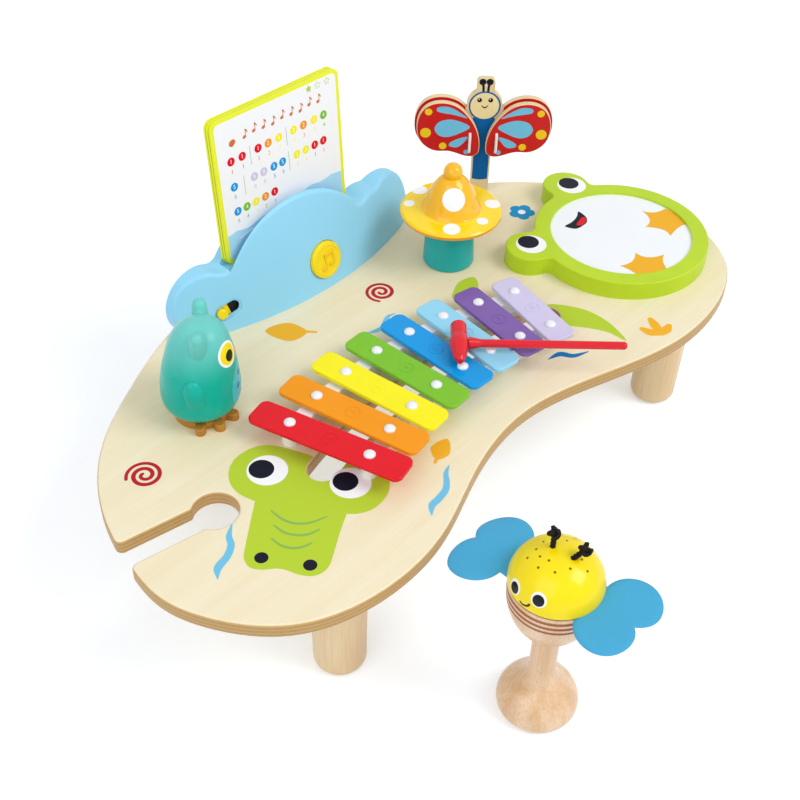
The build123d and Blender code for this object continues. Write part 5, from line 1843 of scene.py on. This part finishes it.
@dataclass
class SongCards:
    """Laminated cards with colour-coded tunes, one printed face each."""

    corner: Point = (-75.0, 134.0)
    foot: float = 46.3
    lean: float = 3.7
    width: float = 126.0
    height: float = 120.0
    step_up: float = 0.4
    shuffle: float = 0.6
    pitch: float = 2.05
    border: float = 3.2
    rounding: float = 4.6
    crest: tuple = ((112.0, 33.2), (101.0, 31.6), (90.0, 33.0), (78.0, 30.6), (64.0, 30.8),
                    (52.0, 27.6), (38.0, 27.4), (24.0, 24.6), (12.0, 26.4))
    ripple: tuple = ((14.0, 19.0), (30.0, 21.6), (44.0, 19.0), (60.0, 23.0), (78.0, 22.0),
                     (102.0, 26.0))
    bars: tuple = ((33.4, 74.5, 90.0), (69.4, 76.0, 91.0), (24.8, 53.0, 69.0), (69.8, 54.5, 70.5))
    stars: tuple = ((95.2, True), (104.4, False), (113.9, False))
    star_height: float = 112.6
    leaf: tuple = ((15.2, 97.2), (16.4, 100.2), (19.9, 100.8), (21.2, 98.2), (18.2, 95.4))
    jots: tuple = (30.0, 98.6, 9.2)
    jot_lifts: tuple = (0.0, 1.6, 0.8)
    jot_stem: tuple = ((1.0, 0.0), (1.6, 0.2), (1.6, 5.8), (1.0, 5.6))
    jot_flag: tuple = ((1.3, 5.4), (2.6, 4.0), (2.9, 2.6))
    rows: tuple = ((84.2, (15.1, 25.8, 41.3, 51.3, 61.9, 76.9, 87.2, 98.0, 108.1)),
                   (63.2, (15.2, 34.9, 44.3, 54.5, 63.3, 78.1, 87.4, 96.9, 106.1)),
                   (42.2, (15.6, 24.6, 33.8, 43.2, 52.6)))
    rise: float = 0.026
    dot: float = 3.5
    figure: float = 4.6
    figure_drop: float = 8.3
    tunes: tuple = ("11123323458855331154321", "53342212345553342213551",
                    "87654321123456788642131")

    def face(self, index: int) -> Place:
        """The front plane of one card.

        Args:
            index: 0 for the front card.

        Returns:
            The frame, with its origin at the card's lower left corner.
        """
        straight, slant = around(self.lean)
        up, out = Vector((0, slant, straight)), Vector((0, -straight, slant))
        origin = Vector((*self.corner, TOP + self.foot - 0.3))
        origin += up * 0.3 - out * self.pitch * index - Vector((self.shuffle * index, 0, 0))
        return Place(origin, Vector((1, 0, 0)), up, out)

    @staticmethod
    def star(u: float, v: float, radius: float) -> Outline:
        """A five-pointed star."""
        return [around(90.0 + 36.0 * k, radius * (0.48 if k % 2 else 1.0), u, v) for k in range(10)]

    def print_paper(self, art: Shell, place: Place, height: float) -> None:
        """Prints the white field, the water, the leaf and the stars.

        Args:
            art: the print.
            place: the card's frame.
            height: the card's height.
        """
        border, edge = self.border, self.width - self.border
        art.ink(place, rounded_box((border, border), (edge, height - border), self.rounding, 8))
        wave = [(border, 25.0), (border, 6.0), (5.6, border), (edge - 2.4, border), (edge, 6.0),
                (edge, 31.8), *(tuple(p) for p in smooth_line(self.crest, 6))]
        art.ink(place, wave, 10, 1.0)
        art.ink(place, stroke(self.ripple, (0.6, 1.8, 1.2, 1.8, 1.2, 0.6), 6), 0, 2.0)
        art.ink(place, smooth_loop(self.leaf, 6), 11, 1.0)
        for u, full in self.stars:
            art.ink(place, self.star(u, self.star_height, 3.3), 12, 1.0)
            if not full:
                art.ink(place, self.star(u, self.star_height, 2.3), 0, 2.0)

    def print_tune(self, art: Shell, place: Place, index: int) -> None:
        """Prints the tune: coloured dots with figures, bar lines and a row of small notes.

        Args:
            art: the print.
            place: the card's frame.
            index: 0 for the front card.
        """
        notes = map(int, self.tunes[index])
        low, mid, high = (layer * PRINT_FILM for layer in (1, 2, 3))
        for row, places in self.rows:
            for u in places:
                note, v = next(notes), row + self.rise * (u - 15.0)
                art.ink(place, disc(u, v, self.dot, 28), note, 1.0)
                art.figure(place, str(note), self.figure, mid, high, u, v)
                art.figure(place, str(note), self.figure, low, mid, u, v - self.figure_drop, note)
        for u, foot, top in self.bars:
            art.ink(place, [(u, foot), (u + 0.4, foot), (u + 0.4, top), (u, top)], 9, 1.0)
        start, level, pitch = self.jots
        for k in range(9):
            u, v = start + pitch * k, level + self.jot_lifts[(k + index) % 3]
            stem, flag = ([(u + x, v + y) for x, y in part]
                          for part in (self.jot_stem, self.jot_flag))
            for outline in (disc(u, v, 1.7, 20, 0.78, 20), stem, stroke(flag, (1.2, 0.9, 0.3), 4)):
                art.ink(place, outline, 11, 1.0)

    def build(self) -> None:
        """Dresses and prints the three cards."""
        board = Plastic(srgb(0.93, 0.95, 0.18), 0.3, 0.006, 1.2, 0.3).material("lime_board")
        paper = [Ink(srgb(0.965, 0.97, 0.985), 0.3, 0.4).material("card_white")]
        paper += [Ink(colour, 0.3, 0.4).material("note_" + name) for name, colour in SCALE.items()]
        paper += inks(Tint.GREY, Tint.SKY)
        paper.append(Ink(srgb(0.84, 0.44, 0.20), 0.3, 0.4).material("ink_rust"))
        paper += inks(Tint.REED)
        for index, name in enumerate(("front", "middle", "back")):
            dress(board, "card_" + name)
            art, place = Shell(), self.face(index)
            self.print_paper(art, place, self.height + self.step_up * index)
            self.print_tune(art, place, index)
            art.piece("song_print_" + name, "song_card_" + name, "card", paper)


# ---- Owl ----

@dataclass
class Owl:
    """Painted owl that turns on its feet."""

    centre: Point = (-162.9, 63.3)
    facing: float = 318.0
    teal: Colour = srgb(0.01, 0.68, 0.61)
    # The paler teal of the top is a painted highlight.
    crown: Colour = srgb(0.46, 0.81, 0.79)
    belly: Colour = srgb(0.26, 0.73, 0.80)
    spots: Colour = srgb(0.05, 0.47, 0.62)
    spot_rows: tuple = ((40.0, 2), (31.0, 3), (22.0, 2), (13.5, 3))
    spot_pitch: float = 17.0
    spot_reach: float = 28.6
    spot: float = 2.5
    crown_fade: tuple = (44.0, 82.0)
    front_fade: tuple = (6.0, 8.0)
    eye_turn: float = 25.0
    eye: tuple = (61.5, 25.0, 9.6)
    ring: float = 7.9
    pupil: tuple = (59.8, 25.6, 4.3, 22.8)
    belly_radii: tuple = (16.5, 21.0)
    belly_height: float = 28.0
    beak: tuple = (24.6, 57.0, 52.0, 2.6)
    tuft_root: tuple = (3.6, 15.0, 66.4)
    tuft_tip: tuple = (3.6, 20.0, 87.2)
    tuft_radii: Point = (7.0, 4.7)
    tuft_round: float = 0.22
    wing_middle: tuple = (-1.0, 25.4, 36.8)
    wing_radii: tuple = (8.0, 5.7, 13.4)
    wing_lean: float = -6.0
    steps: int = 20
    sides: int = 28

    def place(self) -> Place:
        """The owl's own frame on the table, across the way that it faces."""
        return Place.level(*self.centre, TOP, self.facing)

    def add_tuft(self, relief: Shell, side: int) -> None:
        """Adds one rounded ear tuft.

        Args:
            relief: the piece.
            side: -1 or 1.
        """
        line, radii = [], []
        low, high = self.tuft_radii
        for k in range(self.steps + 1):
            share = math.sin(math.pi / 2 * k / self.steps)
            point = Vector(self.tuft_root).lerp(Vector(self.tuft_tip), share)
            line.append(self.place().at(point.x, point.y * side, point.z))
            end = max(0.0, (share - 1 + self.tuft_round) / self.tuft_round)
            radius = (low + (high - low) * share) * math.sqrt(1 - end * end)
            radii.append(max(0.25, radius) * MM)
        relief.tube(line, radii, self.sides)

    def add_wing(self, relief: Shell, side: int) -> None:
        """Adds one folded wing.

        Args:
            relief: the piece.
            side: -1 or 1.
        """
        lean = Matrix.Rotation(math.radians(self.wing_lean), 3, "Y")
        points = []
        for k in range(self.steps + 1):
            level, reach = around(180.0 * (k + 0.02) / (self.steps + 0.04))
            for j in range(self.sides):
                out = (*around(360.0 * j / self.sides, reach), level)
                bulge = Vector(a * b for a, b in zip(out, self.wing_radii))
                point = Vector(self.wing_middle) + lean @ bulge
                points.append(self.place().at(point.x, point.y * side, point.z))
        relief.add(points, [face[::-side] for face in skin(self.steps + 1, self.sides)])

    def polar(self, turn: float, reach: float, height: float) -> Vector:
        """A point at degrees from the way that the owl faces."""
        return self.place().spot(*around(turn, reach), height)

    def paint_belly(self, net: Net) -> Socket:
        """Paints the body, its spotted belly and a paler top that is a painted highlight.

        Args:
            net: the paint.

        Returns:
            The colour.
        """
        place = self.place()
        ahead, aside, origin = place.across, place.up, place.spot(0, 0)
        height = net.axis(2) - TOP
        # The top fades to a paler teal: a painted highlight over the one teal paint.
        colour = net.mix(height.step(*self.crown_fade) * 0.85, self.teal, self.crown)
        lateral = (net.dot(aside) - origin.dot(aside)) / self.belly_radii[0]
        upright = (height - self.belly_height) / self.belly_radii[1]
        patch = (lateral * lateral + upright * upright).step(1.03, 0.97)
        front = (net.dot(ahead) - origin.dot(ahead)).step(*self.front_fade)
        colour = net.mix(patch * front, colour, self.belly)
        for row, (level, count) in enumerate(self.spot_rows):
            for k in range(count):
                turn = (k - (count - 1) / 2) * self.spot_pitch
                centre = self.polar(turn, self.spot_reach - row * 0.1, level)
                colour = net.mix(net.ball(centre, self.spot), colour, self.spots)
        return colour

    def build(self) -> None:
        """Paints the owl with its raised tufts and wings, and stains its feet."""
        net = Net("owl_paint")
        colour = self.paint_belly(net)
        height, reach, radius = self.eye
        pupil_height, pupil_reach, pupil_radius, pupil_turn = self.pupil
        for side in SIDES:
            centre = self.polar(side * self.eye_turn, reach, height)
            colour = net.mix(net.ball(centre, radius), colour, Tint.WHITE.value)
            colour = net.mix(net.ball(centre, self.ring), colour, Tint.SUN.value)
            centre = self.polar(side * pupil_turn, pupil_reach, pupil_height)
            colour = net.mix(net.ball(centre, pupil_radius), colour, Tint.PUPIL.value)
        reach, high, low, radius = self.beak
        beak = net.rod(self.polar(0, reach, high), self.polar(0, reach + 1.0, low), radius)
        colour = net.mix(beak, colour, srgb(0.95, 0.62, 0.12))
        paint = PaintedWood(self.teal, 0.27, 0.22).coat_over(net, colour)
        dress(paint, "owl_body")
        relief = Shell()
        for side in SIDES:
            self.add_tuft(relief, side)
            self.add_wing(relief, side)
        relief.piece("owl_relief", "owl", "owl", [paint], 60.0)
        feet = ClearWood(srgb(0.76, 0.53, 0.20), srgb(0.62, 0.40, 0.12), Grain.LENGTHWISE, 8.0)
        dress(feet.material("owl_feet_stain"), "owl_feet")


# ---- Bee rattle ----

@dataclass
class BeeRattle:
    """Turned rattle with a painted dome, felt wings and knotted cord feelers."""

    centre: Point = (-113.4, -223.8)
    facing: float = 184.0
    rim: float = 130.6
    dome_base: float = 133.0
    dome_top: float = 160.0
    dome_radius: float = 31.0
    grooves: tuple = (126.8, 122.2, 117.6)
    yellow: Colour = srgb(0.98, 0.875, 0.02)
    eyes: tuple = ((157.0, 140.2, 5.1), (193.8, 143.7, 5.1))
    pupils: tuple = ((157.2, 139.6, 3.9), (193.7, 143.3, 3.9))
    smile: tuple = ((172.4, 135.3), (175.8, 134.7), (179.8, 135.3), (182.9, 136.4), (184.6, 138.0))
    # Bearing and height of each sound hole, painted as a dark spot of shade.
    holes: tuple = ((133.6, 153.6), (116.2, 156.5), (142.3, 157.5), (166.2, 155.6), (170.9, 158.6),
                    (204.6, 156.9), (246.0, 157.8), (87.2, 157.0), (297.0, 157.5), (60.0, 154.0),
                    (20.0, 158.0), (340.0, 155.0), (280.0, 154.5), (10.0, 153.5))
    lobes: tuple = (
        ((-10.0, 47.0, 18.6), (17.0, 49.4, 18.2)), ((-17.0, 45.5, 18.5), (12.0, 43.0, 18.5)),
    )
    droop: tuple = (0.0048, 0.0002)
    wing_root: float = 14.5
    wing_inner: float = 25.4
    wing_heart: float = 38.0
    root_taper: float = 0.10
    root_start: float = 22.0
    root_end: float = 46.0
    curl: float = 0.048
    curl_rate: float = 0.11
    curl_start: tuple = (1.3, 0.4)
    wing_corners: int = 240
    felt: float = 2.0
    felt_grid: float = 2.2
    edge_share: float = 0.62
    edge_swell: float = 0.35
    feeler_spread: float = 6.4
    feeler_leans: tuple = ((6.0, 10.0), (32.0, 28.0))
    feeler_sunk: float = 3.5
    feeler_rise: float = 11.4
    strand: float = 1.1
    knot_cord: float = 1.45
    knot_reach: float = 1.12
    knot_depth: float = 1.5
    tails: tuple = ((0.6, 4.6), (3.4, 4.0))

    def on_dome(self, azimuth: float, height: float) -> Vector:
        """A point of the dome's skin.

        Args:
            azimuth: its bearing, in degrees.
            height: its height over the floor.

        Returns:
            The point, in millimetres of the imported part.
        """
        share = (height - self.dome_base) / (self.dome_top - self.dome_base)
        reach = self.dome_radius * math.sqrt(max(0.0, 1 - share * share))
        return Place.level(*self.centre, 0.0).spot(*around(azimuth, reach), height)

    def build_dome(self) -> None:
        """Paints the dome's face, and dark spots of painted shade at its sound holes."""
        net = Net("bee_paint")
        colour: Paint = self.yellow
        for pair in zip(self.eyes, self.pupils):
            for (azimuth, height, radius), tint in zip(pair, (Tint.WHITE, Tint.PUPIL)):
                mask = net.ball(self.on_dome(azimuth, height), radius)
                colour = net.mix(mask, colour, tint.value)
        line = [self.on_dome(*p) for p in self.smile]
        for start, end in zip(line, line[1:]):
            colour = net.mix(net.rod(start, end, 0.8, 0.1), colour, srgb(0.20, 0.10, 0.04))
        # Each sound hole is a dark spot: painted shade.
        for hole_shade in self.holes:
            mask = net.ball(self.on_dome(*hole_shade), 0.85, 0.15)
            colour = net.mix(mask, colour, srgb(0.42, 0.30, 0.06))
        dress(PaintedWood(self.yellow, 0.16, 0.3).coat_over(net, colour), "bee_dome")

    def build_handle(self) -> None:
        """Dresses the turned handle, with burnt grooves under the rim."""
        net = Net("bee_beech")
        pale, dark = srgb(0.935, 0.81, 0.67), srgb(0.83, 0.63, 0.42)
        colour, pores = wood_tone(net, pale, dark, Grain.UPRIGHT, 9.0, 0.75)
        ray = net.noise((0.5, 0.5, 2.4), 1.0, 21.0).step(0.64, 0.72)
        colour = net.mix(ray * 0.45, colour, srgb(0.66, 0.46, 0.30))
        height = net.axis(2)
        for groove in self.grooves:
            line = abs(height - groove).step(1.65, 1.0)
            colour = net.mix(line * 0.9, colour, srgb(0.64, 0.35, 0.19))
        rough = net.noise(12.0, 2.0, 3.0) * 0.08 + 0.24
        material = net.finish(colour, rough, net.bump(pores, 0.025), Specular_IOR_Level=0.5)
        dress(material, "bee_handle")

    def wing_outline(self, side: int) -> Outline:
        """One wing's cut: two lobes that join at a root under the dome's edge.

        Args:
            side: -1 or 1, as seen by the bee.

        Returns:
            The outline, in the bee's own plan.
        """
        lobes = self.lobes[side > 0]
        root = (lobes[0][0] + lobes[1][0]) / 2

        def inside(x: float, y: float) -> bool:
            """Whether a point belongs to the cut.

            Args:
                x, y: the point.

            Returns:
                True inside.
            """
            if math.hypot(x, y) < self.wing_inner:
                return False
            half = self.wing_root - self.root_taper * (y - self.root_start)
            if abs(x - root) < half and y < self.root_end:
                return True
            return any(math.hypot(x - lx, y - ly) < r for lx, ly, r in lobes)

        line = []
        for k in range(self.wing_corners):
            bearing = 360.0 * k / self.wing_corners
            step, high = 0.25, 0.0
            while high < 60.0 and inside(*around(bearing, high, root, self.wing_heart)):
                high += step
            low = high - step
            for _ in range(10):
                half = (low + high) / 2
                if inside(*around(bearing, half, root, self.wing_heart)):
                    low = half
                else:
                    high = half
            line.append(around(bearing, low, root, self.wing_heart))
        for _ in range(2):
            line = [tuple((a + 2 * b + c) / 4 for a, b, c in zip(*near))
                    for near in neighbours(line)]
        return [(x, side * y) for x, y in line]

    def wing_height(self, x: float, y: float) -> float:
        """How far the felt's middle stands over the rim's level, in a soft outward droop.

        Args:
            x, y: the point in the bee's own plan.

        Returns:
            The height.
        """
        out = max(0.0, abs(y) - self.dome_radius)
        wave = math.sin(x * self.curl_rate + self.curl_start[y > 0])
        return out * (self.curl * wave - self.droop[y > 0] * out)

    def fill(self, outline: Outline) -> Outline:
        """Grid points inside an outline and off its edge.

        Args:
            outline: the wing's cut.

        Returns:
            The points.
        """
        grid = self.felt_grid
        (low_x, high_x), (low_y, high_y) = ((min(a), max(a)) for a in zip(*outline))
        points = []
        for row in range(int((high_y - low_y) / grid) + 1):
            y = low_y + row * grid
            runs = [pair for pair in zip(outline, outline[1:] + outline[:1])
                    if (pair[0][1] > y) != (pair[1][1] > y)]
            for column in range(int((high_x - low_x) / grid) + 1):
                x = low_x + (column + 0.5 * (row % 2)) * grid
                over = sum(x < (bx - ax) * (y - ay) / (by - ay) + ax
                           for (ax, ay), (bx, by) in runs)
                if over % 2 and min(math.dist((x, y), p) for p in outline) > 1.4:
                    points.append((x, y))
        return points

    def build_wing(self, side: int, felt: Material) -> None:
        """Cuts and curves one felt wing.

        Args:
            side: -1 or 1, as seen by the bee.
            felt: its finish.
        """
        outline = self.wing_outline(side)
        if signed_area(outline) < 0:
            outline = outline[::-1]
        count = len(outline)
        flat = [Vector(p) for p in outline + self.fill(outline)]
        edges = [(k, (k + 1) % count) for k in range(count)]
        points, _, faces, *_ = delaunay_2d_cdt(flat, edges, [], 1, 1e-5)
        total = len(points)
        place = Place.level(*self.centre, (self.rim + self.dome_base) / 2, self.facing)
        sheet = []
        for half in (self.felt / 2, -self.felt / 2):
            for k, p in enumerate(points):
                thick = half * (self.edge_share if k < count else 1.0)
                sheet.append(place.at(p.x, p.y, self.wing_height(p.x, p.y) + thick))
        for a, b, c in neighbours(list(points[:count])):
            away = Vector((c.y - a.y, a.x - c.x)).normalized() * self.edge_swell
            sheet.append(place.at(b.x + away.x, b.y + away.y, self.wing_height(b.x, b.y)))
        shown = [tuple(face) for face in faces]
        shown += [tuple(total + k for k in reversed(face)) for face in faces]
        for k, j in edges:
            shown.append((2 * total + k, 2 * total + j, j, k))
            shown.append((total + k, total + j, 2 * total + j, 2 * total + k))
        wing = Shell()
        wing.add(sheet, shown)
        made = wing.piece("felt_wing_" + SIDES[side], "bee_rattle", "felt", [felt], 80.0)
        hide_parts("bee_wings")
        size = tuple(round((max(a) - min(a)) * MM, 4) for a in zip(*outline))
        area = signed_area(outline) * MM * MM

    def build_feeler(self, side: int, black: Material) -> None:
        """Ties one feeler: a two-strand cord that ends in an overhand knot.

        Args:
            side: -1 or 1, as seen by the bee.
            black: its finish.
        """
        out, back = (math.radians(a) for a in self.feeler_leans[side > 0])
        base = Place.level(*self.centre, 0.0, self.facing)
        foot = Vector((0.0, side * self.feeler_spread, self.dome_top - self.feeler_sunk))
        aside, up = math.cos(back) * math.sin(out), math.cos(back) * math.cos(out)
        way = Vector((-math.sin(back), side * aside, up))
        first = way.orthogonal().normalized()
        second = way.cross(first)
        feeler, count = Shell(), 36
        for strand in range(2):
            line = []
            for k in range(count + 1):
                c, s = around(360.0 * (k / count * 2.4 + strand / 2), 0.85)
                sway = first * 0.35 * math.sin(math.pi * k / count)
                middle = foot + way * self.feeler_rise * k / count + sway
                line.append(base.at(*(middle + first * c + second * s)))
            feeler.tube(line, self.strand * MM, 9)
        centre = foot + way * (self.feeler_rise + 1.6)
        knot, count = [], 84
        for k in range(count):
            t = 2 * math.pi * k / count
            a = (math.sin(t) + 2 * math.sin(2 * t)) * self.knot_reach
            b = (math.cos(t) - 2 * math.cos(2 * t)) * self.knot_reach
            c = -math.sin(3 * t) * self.knot_depth
            knot.append(base.at(*(centre + first * a + second * b + way * c)))
        feeler.tube(knot, self.knot_cord * MM, 10, True)
        for turn, length in self.tails:
            off = first * math.cos(turn) + second * math.sin(turn)
            tail = smooth_line([centre, centre + way * 2.2 + off * 1.8,
                                centre + way * length * 0.8 + off * 3.2], 8)
            radii = [(1.25 + 0.15 * k / len(tail)) * MM for k in range(len(tail))]
            feeler.tube([base.at(*p) for p in tail], radii, 9)
        made = feeler.piece("feeler_" + SIDES[side], "bee_rattle", "knot", [black], 60.0)
        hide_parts("bee_antennae")

    def build(self) -> None:
        """Builds and dresses the rattle."""
        self.build_dome()
        self.build_handle()
        felt = Felt(srgb(0.33, 0.75, 0.94)).material("blue_felt")
        black = Yarn(srgb(0.085, 0.055, 0.05), 0.6).material("black_cord")
        for side in SIDES:
            self.build_wing(side, felt)
            self.build_feeler(side, black)


def main() -> None:
    """Builds every sub-assembly in order."""
    logging.basicConfig(level=logging.INFO, format="%(message)s")
    for part in (Studio(), Tabletop(), Metallophone(), Mallet(), Drum(), Mushroom(), Butterfly(),
                 Console(), SongCards(), Owl(), BeeRattle()):
        part.build()
        log.info("built %s", type(part).__name__)
    bare = [name for name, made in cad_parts.items() if not made.data.materials]
    log.info("nodes without a finish: %s", bare)


if __name__ == "__main__":
    main()
